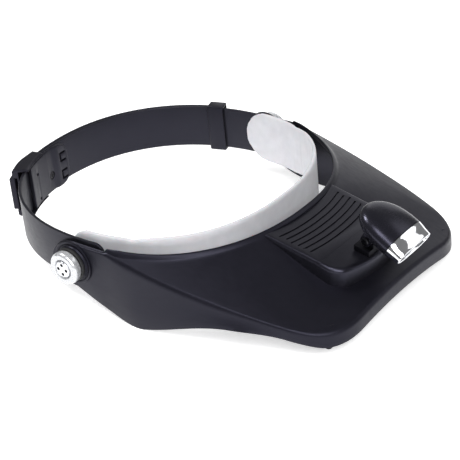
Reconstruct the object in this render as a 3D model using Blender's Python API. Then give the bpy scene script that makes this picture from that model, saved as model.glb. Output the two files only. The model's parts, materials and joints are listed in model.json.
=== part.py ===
"""Head visor magnifier: adjustable headband, tilting visor, folding lens and a two-LED lamp.

All dimensions are millimetres in the headband's own frame: -Y is forward, +Z is up, +X is the
wearer's left, z = 0 is the lower edge of the strap and x = y = 0 is the middle of the head.
The last step stands the finished assembly on the ground and scales it to metres.
"""
import math

import bmesh
import bpy
import numpy as np
from mathutils import Matrix, Vector

GAP = 0.3                      # clearance between pieces that touch

# Headband: a rounded oval seen from above
BAND_HALF_WIDTH = 76.3
BAND_FRONT = 70.7
BAND_REAR = 83.0
BAND_FRONT_POWER = 2.28
BAND_REAR_POWER = 2.16
STRAP_HEIGHT = 24.0
STRAP_THICKNESS = 1.6
STRAP_END_RADIUS = 5.0
STRAP_FRONT_ANGLE = -11.0      # where a strap ends beside the forehead pad
LONG_STRAP_END_ANGLE = 19.6    # free end of the long strap, inside the keeper
SHORT_STRAP_END_ANGLE = 104.0  # end of the short strap inside the adjuster

# Forehead pad
PAD_OUTER = -2.8
PAD_THICKNESS = 2.4
PAD_TOP = 28.1
PAD_BOTTOM = 1.0
LOBE_BOTTOM = -2.0
LOBE_TOP = 27.6
LOBE_END_ANGLE = 7.2
LOBE_LENGTH = 56.0
LOBE_FADE = 20.0
NECK_RUN = 40.0
NECK_DIP = 0.7

# Keeper loop
KEEPER_ANGLE = 22.5
KEEPER_LENGTH = 9.5
KEEPER_WALL = 1.1
KEEPER_SLACK = 0.7            # room round the straps, inside and outside
KEEPER_RISE = 0.35            # room above and below the straps

# Rear adjuster
ADJ_START_ANGLE = 89.8
ADJ_END_ANGLE = 115.0
ADJ_PLATE = 1.8
STRAP_SCREW_ANGLE = 99.5
STRAP_SCREW_Z = 9.0
COVER_START_ANGLE = 103.5
COVER_END_ANGLE = 118.2
COVER_WALL = 1.2
COVER_THIN = 4.6               # outward reach of the cover at its two ends
COVER_DEPTH = 6.4
COVER_WEB = 0.8                # shelf between the straps and the button
BUTTON_ANGLE = 115.6
BUTTON_LENGTH = 8.4
BUTTON_HEIGHT = 18.4
BUTTON_DEPTH = 3.3
BUTTON_FACE = 8.4              # outward reach of the button

# Visor pivots
PIVOT_Y = 1.9
PIVOT_Z = 12.0
EAR_X = 80.4
EAR_RADIUS = 14.0
EAR_TOP = 10.3                 # height of the ear's flattened top above the pivot
BOSS_RADIUS = 11.4
BOSS_HEIGHT = 1.5
KNOB_RADIUS = 8.6
KNOB_LENGTH = 4.6
COLLAR_RADIUS = 8.9

# Visor shell
VISOR_WALL = 1.6
CROWN_Z = 53.5                 # height of the top surface's centre line above the head's centre
SLOPE = math.tan(math.radians(20.4))
ARCH_REAR = 4.02e-3            # sideways curvature of the top at the ears
ARCH_FRONT = 1.85e-3           # and at the front edge
SIDE_REAR_HALF = 80.4
SIDE_FRONT_HALF = 57.4
SIDE_START_Y = -16.5
VISOR_FRONT_Y = -136.6
SIDE_BOW = 6.0
CORNER_CUT = 21.8
RIM_HALF = 80.9
RIM_DEPTH = 88.5
RIM_CENTRE_Y = 8.8
RIM_POWER = 2.18
RIM_LIP_WIDTH = 1.5
RIM_LIP_HEIGHT = 1.2
CREASE_RADIUS = 3.2
LIP_HEIGHT = 7.8
FOOT_Y = -38.0
FOOT_Z = -13.6
FLARE = 2.0                    # how far the side walls lean out at their lower edge
WALL_ARCH_Y = -88.0
WALL_ARCH_Z = -2.3
HOLLOW = 4.0                   # how far the top dips between the rim and the front edge

# Battery box set into the visor's top
BOX_HALF_WIDTH = 29.2
BOX_SLOPE = math.tan(math.radians(12.6))
BOX_REAR_TOP = 23.7            # height of the box top at BOX_REAR_Y
BOX_REAR_Y = -76.0
BOX_RIM_SPACE = 2.2            # between the visor's rim and the box's rear edge
BOX_DEPTH = 15.4
BOX_WALL = 1.6
BOX_FRONT_Y = -125.0
BOX_FRONT_SAG = 6.5
LID_FRONT_Y = -108.6
LID_THICKNESS = 1.7
GROOVE_COUNT = 6
GROOVE_START = 4.2             # from the lid's rear edge to the first groove
GROOVE_PITCH = 3.3
GROOVE_WIDTH = 0.9
GROOVE_DEPTH = 0.7
AAA_RADIUS = 5.2
AAA_LENGTH = 44.5
AAA_PITCH = 11.2
AAA_REAR_Y = -89.6
SWITCH_Y = -111.0              # middle of the lamp switch's slot
SWITCH_DROP = 5.0              # below the box top

# Lamp
LAMP_PITCH = 32.0
LAMP_FRONT = (0.0, -143.2, 19.0)
LAMP_HALF_WIDTH = 14.3
LAMP_HALF_HEIGHT = 6.6
LAMP_LENGTH = 31.5
LAMP_DROOP = 1.0               # how far the rounded back sits below the axis
BEZEL_LENGTH = 8.0
LAMP_WALL = 1.3
LAMP_SQUARENESS = 2.4
LAMP_AXIS_Y = -121.0
LAMP_AXIS_Z = 21.0
LED_SPACING = 12.4
LED_RADIUS = 2.1

# Folding lens
LENS_AXIS_Y = -126.0
LENS_AXIS_Z = -10.2
LENS_FOLD_SLOPE = 8.0
LENS_HALF_WIDTH = 43.0
LENS_LENGTH = 38.0
LENS_THICKNESS = 2.6
LENS_BORDER = 3.2

# name: (colour, roughness, metallic)
MATERIALS = {
    "black_plastic": ((0.018, 0.018, 0.020), 0.52, 0.0),
    "black_strap": ((0.022, 0.022, 0.024), 0.60, 0.0),
    "black_rubber": ((0.012, 0.012, 0.012), 0.80, 0.0),
    "grey_foam": ((0.62, 0.63, 0.65), 0.85, 0.0),
    "silver_plastic": ((0.80, 0.81, 0.82), 0.35, 0.15),
    "chrome": ((0.85, 0.86, 0.88), 0.06, 1.0),
    "steel": ((0.60, 0.60, 0.61), 0.28, 1.0),
    "black_steel": ((0.030, 0.030, 0.032), 0.35, 0.9),
    "clear_acrylic": ((0.92, 0.95, 0.97), 0.04, 0.0),
    "led_lens": ((0.95, 0.95, 0.85), 0.08, 0.0),
    "board_green": ((0.05, 0.22, 0.10), 0.45, 0.0),
    "battery_jacket": ((0.35, 0.37, 0.40), 0.30, 0.8),
}

PARTS = {}


def clear_scene():
    """Remove everything that a new file starts with."""
    for obj in list(bpy.data.objects):
        bpy.data.objects.remove(obj, do_unlink=True)


def material(name):
    """Return the named Principled material, making it on first use."""
    found = bpy.data.materials.get(name)
    if found:
        return found
    colour, roughness, metallic = MATERIALS[name]
    made = bpy.data.materials.new(name)
    made.use_nodes = True
    shader = made.node_tree.nodes["Principled BSDF"]
    shader.inputs["Base Color"].default_value = (*colour, 1.0)
    shader.inputs["Roughness"].default_value = roughness
    shader.inputs["Metallic"].default_value = metallic
    made.diffuse_color = (*colour, 1.0)
    return made


def mesh_object(name, verts, faces):
    """Make one mesh object with outward normals."""
    mesh = bpy.data.meshes.new(name)
    mesh.from_pydata([tuple(v) for v in verts], [], [tuple(f) for f in faces])
    solid = bmesh.new()
    solid.from_mesh(mesh)
    bmesh.ops.recalc_face_normals(solid, faces=solid.faces)
    solid.to_mesh(mesh)
    solid.free()
    obj = bpy.data.objects.new(name, mesh)
    bpy.context.scene.collection.objects.link(obj)
    return obj


def finish(obj, name, material_name, origin, smooth=True):
    """Name a finished piece, give it its own material and note where its origin goes."""
    obj.name = name
    obj.data.name = name
    own = material(material_name).copy()
    own.name = name + "_" + material_name
    obj.data.materials.clear()
    obj.data.materials.append(own)
    for face in obj.data.polygons:
        face.use_smooth = smooth
    PARTS[name] = (obj, Vector(origin))
    return obj


def soften(obj, width, segments=2, angle=35.0):
    """Round every edge that is sharper than the given angle."""
    solid = bmesh.new()
    solid.from_mesh(obj.data)
    limit = math.radians(angle)
    sharp = [e for e in solid.edges if len(e.link_faces) == 2 and e.calc_face_angle() > limit]
    bmesh.ops.bevel(solid, geom=sharp, offset=width, segments=segments, profile=0.5,
                    affect="EDGES", clamp_overlap=True)
    solid.to_mesh(obj.data)
    solid.free()
    return obj


def combine(target, tools, operation):
    """Apply exact Booleans to the target and remove the tools."""
    for tool in tools:
        change = target.modifiers.new("combine", "BOOLEAN")
        change.solver = "EXACT"
        change.operation = operation
        change.object = tool
        graph = bpy.context.evaluated_depsgraph_get()
        result = bpy.data.meshes.new_from_object(target.evaluated_get(graph))
        target.modifiers.clear()
        target.data = result
        bpy.data.objects.remove(tool, do_unlink=True)
    return target


def carve(target, tools):
    """Cut the tools out of the target."""
    return combine(target, tools, "DIFFERENCE")


def weld(target, tools):
    """Join overlapping solids into one body."""
    return combine(target, tools, "UNION")


def loft(name, rings):
    """Skin closed sections of equal count, with a flat cap on each end."""
    count = len(rings[0])
    verts = [p for ring in rings for p in ring]
    faces = []
    for i in range(len(rings) - 1):
        for j in range(count):
            k = (j + 1) % count
            faces.append((i * count + j, i * count + k, (i + 1) * count + k, (i + 1) * count + j))
    last = (len(rings) - 1) * count
    faces.append(tuple(range(count)))
    faces.append(tuple(range(last, last + count)))
    return mesh_object(name, verts, faces)


def prism(name, outline, low, high):
    """Stand an outline up between two heights, each a number or a function of (x, y)."""
    low_at = low if callable(low) else lambda x, y: low
    high_at = high if callable(high) else lambda x, y: high
    rings = [[Vector((x, y, low_at(x, y))) for x, y in outline],
             [Vector((x, y, high_at(x, y))) for x, y in outline]]
    return loft(name, rings)


def frame_matrix(centre, along, up):
    """Matrix whose local X runs along, local Z runs up, at the centre."""
    x_axis = Vector(along).normalized()
    z_axis = Vector(up).normalized()
    y_axis = z_axis.cross(x_axis).normalized()
    z_axis = x_axis.cross(y_axis)
    turn = Matrix((x_axis, y_axis, z_axis)).transposed().to_4x4()
    return Matrix.Translation(Vector(centre)) @ turn


def block(name, size, matrix=None, centre=(0, 0, 0)):
    """Make a box of the given size around a centre, then place it."""
    sx, sy, sz = (s / 2 for s in size)
    cx, cy, cz = centre
    outline = [(cx - sx, cy - sy), (cx + sx, cy - sy), (cx + sx, cy + sy), (cx - sx, cy + sy)]
    obj = prism(name, outline, cz - sz, cz + sz)
    if matrix is not None:
        obj.data.transform(matrix)
    return obj


def rounded_block(name, size, radius, matrix=None, centre=(0, 0, 0), segments=3):
    """A box with every edge rounded."""
    obj = block(name, size, None, centre)
    soften(obj, radius, segments)
    if matrix is not None:
        obj.data.transform(matrix)
    return obj


def turned(name, profile, matrix, steps=32):
    """Turn a closed profile of (radius, height) about the local Z axis."""
    verts = []
    rows = []
    for radius, height in profile:
        if radius < 1e-6:
            rows.append([len(verts)] * steps)
            verts.append((0.0, 0.0, height))
        else:
            start = len(verts)
            for i in range(steps):
                turn = 2 * math.pi * i / steps
                verts.append((radius * math.cos(turn), radius * math.sin(turn), height))
            rows.append([start + i for i in range(steps)])
    faces = []
    closed = profile[0][0] > 1e-6 and profile[-1][0] > 1e-6
    pairs = list(zip(rows, rows[1:]))
    if closed:
        pairs.append((rows[-1], rows[0]))
    for below, above in pairs:
        for i in range(steps):
            k = (i + 1) % steps
            corners = [below[i], below[k], above[k], above[i]]
            face = [c for n, c in enumerate(corners) if c not in corners[:n]]
            if len(face) > 2:
                faces.append(face)
    obj = mesh_object(name, verts, faces)
    obj.data.transform(matrix)
    return obj


def along_x(x, y, z, side=1.0):
    """Place a turned piece with its axis along X, its local +Z pointing to the given side."""
    return frame_matrix((x, y, z), (0, 1, 0), (side, 0, 0))


def coil(name, radius, wire, length, turns, matrix, steps=14, sides=6, end_scale=1.0):
    """A round-wire spring with closed ends."""
    total = int(turns * steps)
    rings = []
    for i in range(total + 1):
        share = i / total
        turn = 2 * math.pi * turns * share
        reach = radius * (1 + (end_scale - 1) * share)
        centre = Vector((reach * math.cos(turn), reach * math.sin(turn), length * share))
        radial = Vector((math.cos(turn), math.sin(turn), 0.0))
        ring = []
        for j in range(sides):
            round_wire = 2 * math.pi * j / sides
            ring.append(centre + radial * (wire * math.cos(round_wire))
                        + Vector((0, 0, wire * math.sin(round_wire))))
        rings.append(ring)
    obj = loft(name, rings)
    obj.data.transform(matrix)
    return obj


# ---------------------------------------------------------------- headband

def signed_power(value, power):
    """Raise a value to a power and keep its sign."""
    return math.copysign(abs(value) ** power, value)


def band_raw(angle):
    """Point of the headband oval for a parameter angle in radians."""
    c, s = math.cos(angle), math.sin(angle)
    reach = BAND_REAR if s > 0 else BAND_FRONT
    power = 2.0 / (BAND_REAR_POWER if s > 0 else BAND_FRONT_POWER)
    return Vector((BAND_HALF_WIDTH * signed_power(c, power), reach * signed_power(s, power), 0.0))


def band_samples():
    """Dense polar-sorted samples of the oval with their outward normals."""
    points = [band_raw(math.radians(-180 + 0.5 * i)) for i in range(720)]
    normals = []
    for i, _ in enumerate(points):
        run = points[(i + 1) % 720] - points[i - 1]
        normals.append(Vector((run.y, -run.x, 0.0)).normalized())
    return points, normals


BAND_POINTS, BAND_NORMALS = band_samples()
BAND_POLAR = np.unwrap([math.atan2(p.y, p.x) for p in BAND_POINTS])


def band_at(angle, offset=0.0):
    """Point on the oval at a polar angle in degrees, moved outward by an offset, and its normal."""
    target = math.radians((angle + 180.0) % 360.0 - 180.0)
    if target < BAND_POLAR[0]:
        target += 2 * math.pi
    where = float(np.interp(target, BAND_POLAR, np.arange(720)))
    low = int(where) % 720
    high = (low + 1) % 720
    share = where - int(where)
    point = BAND_POINTS[low].lerp(BAND_POINTS[high], share)
    normal = BAND_NORMALS[low].lerp(BAND_NORMALS[high], share).normalized()
    return point + normal * offset, normal


def ease(share):
    """Smooth step between 0 and 1."""
    share = min(max(share, 0.0), 1.0)
    return share * share * (3 - 2 * share)


def band_strip(name, start, end, count, inner, outer, low, high, edge):
    """Sweep a rounded rectangle round the band; the limits are functions of arc length."""
    angles = np.linspace(start, end, count)
    spine = [band_at(a)[0] for a in angles]
    lengths = travelled(spine)
    rings = []
    for angle, run in zip(angles, lengths):
        away = lengths[-1] - run
        r0, r1 = inner(angle), outer(angle)
        z0, z1 = low(run, away), high(run, away)
        cut = min(edge, 0.3 * (z1 - z0))
        section = [(r0, z0 + cut), (r0 + cut, z0), (r1 - cut, z0), (r1, z0 + cut),
                   (r1, z1 - cut), (r1 - cut, z1), (r0 + cut, z1), (r0, z1 - cut)]
        ring = []
        for reach, z in section:
            point, _ = band_at(angle, reach)
            ring.append(Vector((point.x, point.y, z)))
        rings.append(ring)
    return loft(name, rings)


def end_round(distance, radius):
    """How far a rounded end's corner draws in at a distance from the end."""
    if distance >= radius:
        return 0.0
    return radius - math.sqrt(max(radius ** 2 - (radius - distance) ** 2, 0.0))


def long_strap_offset(angle):
    """The long strap lies on the band, then steps outside the short strap."""
    step_start, step_end = SHORT_STRAP_END_ANGLE + 7.0, SHORT_STRAP_END_ANGLE + 1.0
    return (STRAP_THICKNESS + GAP) * ease((step_start - angle) / (step_start - step_end))


def strap(name, start, end, count, offset):
    """One flat strap with rounded end corners."""
    half = STRAP_THICKNESS / 2

    def low(run, away):
        return end_round(min(run, away), STRAP_END_RADIUS)

    def high(run, away):
        return STRAP_HEIGHT - end_round(min(run, away), STRAP_END_RADIUS)

    return band_strip(name, start, end, count, lambda a: offset(a) - half,
                      lambda a: offset(a) + half, low, high, 0.45)


def pivot_hole(side, radius, low, high):
    """A cutter along the visor's pivot axis between two distances from the middle plane."""
    return turned("cutter", [(0, low), (radius, low), (radius, high), (0, high)],
                  along_x(0, PIVOT_Y, PIVOT_Z, side), 28)


def build_straps():
    """The long right strap and the short left strap."""
    right = strap("strap_right", 180 - STRAP_FRONT_ANGLE, LONG_STRAP_END_ANGLE, 60,
                  long_strap_offset)
    carve(right, [pivot_hole(-1, 2.9, 70, 80)])
    finish(right, "strap_right", "black_strap", band_at(180)[0])
    left = strap("strap_left", STRAP_FRONT_ANGLE, SHORT_STRAP_END_ANGLE, 46, lambda a: 0.0)
    place = band_frame(STRAP_SCREW_ANGLE, 0, STRAP_SCREW_Z)
    hole = turned("cutter", [(0, -4), (1.3, -4), (1.3, 4), (0, 4)],
                  place @ frame_matrix((0, 0, 0), (1, 0, 0), (0, -1, 0)), 16)
    carve(left, [pivot_hole(1, 2.9, 70, 80), hole])
    finish(left, "strap_left", "black_strap", band_at(0)[0])


def band_frame(angle, offset=0.0, z=0.0):
    """Frame on the band: local X along it, local -Y outward, local Z up."""
    point, normal = band_at(angle, offset)
    tangent = Vector((-normal.y, normal.x, 0.0))
    return frame_matrix((point.x, point.y, z), tangent, (0, 0, 1))


def build_pad():
    """The grey pad: a band across the forehead with a round lobe at each end."""
    start, end = LOBE_END_ANGLE, -180 - LOBE_END_ANGLE
    radius = (LOBE_TOP - LOBE_BOTTOM) / 2

    def lobe(run, away):
        return 1.0 - ease((min(run, away) - LOBE_LENGTH + LOBE_FADE) / LOBE_FADE)

    def dip(run, away):
        off = abs(min(run, away) - NECK_RUN) / 9
        return NECK_DIP * (1 - ease(off))

    def low(run, away):
        level = PAD_BOTTOM + (LOBE_BOTTOM - PAD_BOTTOM) * lobe(run, away)
        return level + 0.97 * end_round(min(run, away), radius)

    def high(run, away):
        level = PAD_TOP + (LOBE_TOP - PAD_TOP) * lobe(run, away)
        return level - 0.97 * end_round(min(run, away), radius) - dip(run, away)

    pad = band_strip("forehead_pad", start, end, 60, lambda a: PAD_OUTER - PAD_THICKNESS,
                     lambda a: PAD_OUTER, low, high, 0.8)
    finish(pad, "forehead_pad", "grey_foam", band_at(-90)[0])


def build_keeper():
    """The rectangular loop that holds the long strap's free end down."""
    inner = -STRAP_THICKNESS / 2 - KEEPER_SLACK
    outer = 1.5 * STRAP_THICKNESS + GAP + KEEPER_SLACK
    depth = outer - inner + 2 * KEEPER_WALL
    middle = (inner + outer) / 2
    place = band_frame(KEEPER_ANGLE, middle, STRAP_HEIGHT / 2)
    tall = STRAP_HEIGHT + 2 * KEEPER_RISE
    loop = rounded_block("strap_keeper", (KEEPER_LENGTH, depth, tall + 2 * KEEPER_WALL), 0.7)
    window = block("cutter", (KEEPER_LENGTH + 4, depth - 2 * KEEPER_WALL, tall))
    carve(loop, [window])
    loop.data.transform(place)
    finish(loop, "strap_keeper", "black_plastic", place.translation, smooth=False)


def build_adjuster_base():
    """The curved inner plate, thicker at the end that holds the short strap."""
    outer = -STRAP_THICKNESS / 2 - GAP
    low_edge, high_edge = -0.3, STRAP_HEIGHT + 0.3

    def inner(angle):
        return outer - ADJ_PLATE - 1.0 * (1 - ease((angle - ADJ_START_ANGLE - 6.4) / 1.2))

    def low(run, away):
        return low_edge + 0.8 * end_round(run, 7.0)

    def high(run, away):
        return high_edge - 0.8 * end_round(run, 7.0)

    base = band_strip("adjuster_base", ADJ_START_ANGLE, ADJ_END_ANGLE, 20, inner,
                      lambda a: outer, low, high, 0.6)
    cutters = []
    for z in (5.9, 16.4):
        place = band_frame(ADJ_START_ANGLE + 2.6, outer - ADJ_PLATE - 1.0, z)
        for rise in (-2.3, 2.3):
            cutters.append(block("cutter", (4.2, 3.2, 1.2), place, (0, 0, rise)))
        cutters.append(block("cutter", (1.1, 3.2, 5.8), place, (2.1, 0, 0)))
    for angle, z in ((109.4, 16.6), (109.8, 2.4)):
        place = band_frame(angle, 0, z) @ frame_matrix((0, 0, 0), (1, 0, 0), (0, -1, 0))
        cutters.append(turned("cutter", [(0, -6), (0.9, -6), (0.9, 6), (0, 6)], place, 16))
    outward = frame_matrix((0, 0, 0), (1, 0, 0), (0, -1, 0))
    place = band_frame(STRAP_SCREW_ANGLE, 0, STRAP_SCREW_Z) @ outward
    cutters.append(turned("cutter", [(0, -6), (1.3, -6), (1.3, 6), (0, 6)], place, 16))
    cutters.append(turned("cutter", [(0, -6), (2.3, -6), (2.3, -1.9), (0, -1.9)], place, 20))
    carve(base, cutters)
    finish(base, "adjuster_base", "black_plastic", band_at(99, outer)[0])
    screw = turned("strap_end_screw", [(0, -2.75), (0.5, -2.75), (2.0, -2.65), (2.0, -2.2),
                                       (1.0, -2.0), (1.0, 0.6), (0, 0.6)], place, 20)
    cross = []
    for size in ((2.4, 0.5, 0.6), (0.5, 2.4, 0.6)):
        cross.append(block("cutter", size, place, (0, 0, -2.75)))
    carve(screw, cross)
    finish(screw, "strap_end_screw", "black_steel", place.translation)


def build_adjuster_cover():
    """The outer housing: a bridge over both straps, open at its two ends, with a shelf inside."""
    inner_floor = -STRAP_THICKNESS / 2 - GAP - ADJ_PLATE
    top = STRAP_HEIGHT + 2 * GAP
    low = -2 * GAP
    shelf = 1.5 * STRAP_THICKNESS + 2 * GAP

    def outer(angle):
        rise = ease((angle - COVER_START_ANGLE) / 9.0)
        return COVER_THIN + (COVER_DEPTH - COVER_THIN) * rise

    shell = band_strip("adjuster_cover", COVER_START_ANGLE, COVER_END_ANGLE, 14,
                       lambda a: inner_floor, outer,
                       lambda r, w: low - COVER_WALL, lambda r, w: top + COVER_WALL, 0.9)
    channel = band_strip("cutter", COVER_START_ANGLE - 3, COVER_END_ANGLE + 3, 14,
                         lambda a: inner_floor - 4, lambda a: shelf,
                         lambda r, w: low, lambda r, w: top, 0.2)
    well_height = BUTTON_HEIGHT + 2 * GAP
    reach = BUTTON_LENGTH / 2 + GAP
    base = shelf + COVER_WEB
    place = band_frame(BUTTON_ANGLE, base + 4.0, STRAP_HEIGHT / 2 - 0.5)
    well = block("cutter", (reach + 8, 8.0, well_height), place, ((8 - reach) / 2, 0, 0))
    carve(shell, [channel, well])
    finish(shell, "adjuster_cover", "black_plastic", band_at(109, COVER_DEPTH)[0])


def build_adjuster_button():
    """The press block that frees the long strap, and the spring behind it."""
    place = band_frame(BUTTON_ANGLE, BUTTON_FACE, STRAP_HEIGHT / 2 - 0.5)
    shelf = 1.5 * STRAP_THICKNESS + 2 * GAP + COVER_WEB
    size = (BUTTON_LENGTH, BUTTON_DEPTH, BUTTON_HEIGHT)
    button = rounded_block("adjuster_button", size, 0.6, None, (0, BUTTON_DEPTH / 2, 0))
    button.data.transform(place)
    inward = frame_matrix((0, BUTTON_DEPTH - 2.2, 0), (1, 0, 0), (0, 1, 0))
    pocket = turned("cutter", [(0, 0), (3.0, 0), (3.0, 5), (0, 5)], place @ inward, 24)
    carve(button, [pocket])
    finish(button, "adjuster_button", "black_plastic", place.translation, smooth=False)
    room = BUTTON_FACE - shelf - BUTTON_DEPTH + 2.2
    seat = place @ frame_matrix((0, BUTTON_DEPTH - 2.2 + 0.5, 0), (1, 0, 0), (0, 1, 0))
    spring = coil("adjuster_spring", 2.1, 0.25, room - 1.0, 2.0, seat, 10, 5)
    finish(spring, "adjuster_spring", "steel", place.translation)


# ---------------------------------------------------------------- pivots

def build_pivots():
    """Nut, friction washer, collar, knob and screw on each side."""
    strap_in = BAND_HALF_WIDTH - STRAP_THICKNESS / 2
    strap_out = BAND_HALF_WIDTH + STRAP_THICKNESS / 2
    boss = EAR_X + BOSS_HEIGHT
    for side, word in ((-1, "right"), (1, "left")):
        place = along_x(0, PIVOT_Y, PIVOT_Z, side)
        origin = (side * EAR_X, PIVOT_Y, PIVOT_Z)
        flange = strap_in - GAP
        nut = turned("nut", [(1.6, flange - 1.3), (5.2, flange - 1.3), (5.6, flange - 0.9),
                             (5.6, flange), (2.5, flange), (2.5, boss - 0.1), (1.6, boss - 0.1)],
                     place, 28)
        finish(nut, "pivot_nut_" + word, "steel", origin)
        low, high = strap_out + GAP, EAR_X - VISOR_WALL - GAP
        washer = turned("washer", [(3.0, low), (8.6, low), (9.0, (low + high) / 2), (8.6, high),
                                   (3.0, high)], place, 28)
        finish(washer, "pivot_washer_" + word, "black_rubber", origin)
        start = boss + GAP
        collar = turned("collar", [(2.1, start), (COLLAR_RADIUS - 0.5, start),
                                   (COLLAR_RADIUS, start + 0.5), (COLLAR_RADIUS, start + 1.3),
                                   (COLLAR_RADIUS - 0.4, start + 1.7), (2.1, start + 1.7)],
                        place, 28)
        finish(collar, "pivot_collar_" + word, "black_rubber", origin)
        start += 1.7 + GAP
        end = start + KNOB_LENGTH
        knob = turned("knob", [(1.7, start), (KNOB_RADIUS - 0.8, start),
                               (KNOB_RADIUS - 0.1, start + 0.5), (KNOB_RADIUS, start + 1.2),
                               (KNOB_RADIUS, end - 1.5), (KNOB_RADIUS - 0.3, end - 0.7),
                               (KNOB_RADIUS - 1.0, end - 0.15), (KNOB_RADIUS - 1.8, end),
                               (5.3, end), (4.9, end - 0.2), (4.7, end - 0.6), (4.6, end - 1.4),
                               (1.7, end - 1.4)], place, 28)
        finish(knob, "pivot_knob_" + word, "silver_plastic", origin)
        seat = end - 1.4 + GAP
        screw = turned("screw", [(0, strap_in - 0.5), (1.3, strap_in - 0.5), (1.3, seat),
                                 (3.7, seat), (3.8, seat + 0.4), (3.5, seat + 1.0),
                                 (2.6, seat + 1.5), (1.3, seat + 1.7), (0, seat + 1.75)],
                       place, 24)
        slots = []
        for size in ((5.0, 0.95, 1.6), (0.95, 5.0, 1.6)):
            slots.append(block("cutter", size, place, (0, 0, seat + 1.75)))
        carve(screw, slots)
        finish(screw, "pivot_screw_" + word, "steel", origin)


# ---------------------------------------------------------------- visor

def arch(y):
    """Sideways curvature of the visor's top at a distance from the head."""
    share = min(max(y / VISOR_FRONT_Y, 0.0), 1.1)
    return ARCH_REAR + (ARCH_FRONT - ARCH_REAR) * share


def top_z(x, y):
    """Height of the visor's top surface, with a soft hollow ahead of the headband."""
    rim_y = RIM_CENTRE_Y - RIM_DEPTH
    along = min(max((rim_y - y) / (rim_y - VISOR_FRONT_Y), 0.0), 1.0)
    across = max(1.0 - (x / 62.0) ** 2, 0.0)
    dip = HOLLOW * math.sin(math.pi * along ** 1.2) * across
    return CROWN_Z + SLOPE * y - arch(y) * x * x - dip


def side_point(share):
    """Outline of the visor's side from the ear to the front corner."""
    x = SIDE_REAR_HALF + (SIDE_FRONT_HALF - SIDE_REAR_HALF) * share
    x += SIDE_BOW * 4 * share * (1 - share)
    return Vector((x, SIDE_START_Y + (VISOR_FRONT_Y - SIDE_START_Y) * share, 0.0))


def outline_half():
    """Stations of the outline for x > 0: ear, side, corner, then the front to the middle."""
    ear = [Vector((EAR_X, PIVOT_Y + EAR_RADIUS * math.sin(math.radians(a)), 0.0))
           for a in (80, 66, 50, 34, 17, 0)]
    ear += [Vector((EAR_X, PIVOT_Y + (SIDE_START_Y - PIVOT_Y) * i / 5, 0.0)) for i in range(1, 5)]
    length = (side_point(1) - side_point(0)).length
    last = 1 - CORNER_CUT / length
    side = [side_point(last * i / 16) for i in range(17)]
    corner = side_point(1)
    turn_end = corner + Vector((-CORNER_CUT, 0, 0))
    bend = []
    for i in range(1, 10):
        t = i / 9
        bend.append(side[-1].lerp(corner, t).lerp(corner.lerp(turn_end, t), t))
    front = [turn_end.lerp(Vector((0, corner.y, 0)), i / 6) for i in range(1, 7)]
    return ear, side, bend, front


def travelled(points):
    """Length of a polyline up to each of its points."""
    steps = [(b - a).length for a, b in zip(points, points[1:])]
    return np.concatenate([[0.0], np.cumsum(steps)])


def sample(points, share):
    """Point at a share of a polyline's length."""
    lengths = travelled(points)
    target = share * lengths[-1]
    i = min(int(np.searchsorted(lengths, target, side="right")) - 1, len(points) - 2)
    part = (target - lengths[i]) / (lengths[i + 1] - lengths[i])
    return points[i].lerp(points[i + 1], min(part, 1.0))


def rim_arc(offset=0.0, count=90):
    """The rim's oval from the ear to the middle, grown forward by an offset."""
    points = []
    for i in range(count + 1):
        angle = math.radians(90.0 * i / count)
        x = (RIM_HALF + offset) * math.cos(angle) ** (2 / RIM_POWER)
        y = RIM_CENTRE_Y - (RIM_DEPTH + offset) * math.sin(angle) ** (2 / RIM_POWER)
        if y <= SIDE_START_Y:
            points.append(Vector((min(x, EAR_X - VISOR_WALL - 0.5), y, 0.0)))
    points[-1].x = 0.0
    return points


RIM_TABLE = rim_arc()


def wall_bottom(point, top):
    """Height of the side wall's lower edge."""
    y = point.y
    if y >= PIVOT_Y:
        return PIVOT_Z - math.sqrt(max(EAR_RADIUS ** 2 - (y - PIVOT_Y) ** 2, 0.0))
    ear_low = PIVOT_Z - EAR_RADIUS
    if y >= FOOT_Y:
        share = (PIVOT_Y - y) / (PIVOT_Y - FOOT_Y)
        return ear_low + (FOOT_Z - ear_low) * math.sin(share * math.pi / 2)
    if y >= WALL_ARCH_Y:
        share = (FOOT_Y - y) / (FOOT_Y - WALL_ARCH_Y)
        blend = 0.5 * (ease(share) + math.sin(share * math.pi / 2))
        return FOOT_Z + (WALL_ARCH_Z - FOOT_Z) * blend
    corner_y = VISOR_FRONT_Y + 0.35 * CORNER_CUT
    share = min((WALL_ARCH_Y - y) / (WALL_ARCH_Y - corner_y), 1.0)
    return WALL_ARCH_Z + (top - LIP_HEIGHT - WALL_ARCH_Z) * share ** 1.3


def wall_top(point):
    """Height of the crease between the top and the wall."""
    surface = top_z(point.x, point.y)
    if point.y >= PIVOT_Y:
        share = (point.y - PIVOT_Y) / EAR_RADIUS
        return PIVOT_Z + EAR_TOP * math.sqrt(max(1 - share ** 2, 0.0))
    return min(surface, PIVOT_Z + EAR_TOP)


def flare(point):
    """How far the wall's lower edge stands out past its upper edge."""
    grown = ease((SIDE_START_Y - point.y) / (SIDE_START_Y - FOOT_Y))
    faded = ease((point.y - VISOR_FRONT_Y - CORNER_CUT) / (WALL_ARCH_Y - VISOR_FRONT_Y - CORNER_CUT))
    return FLARE * grown * faded


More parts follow.
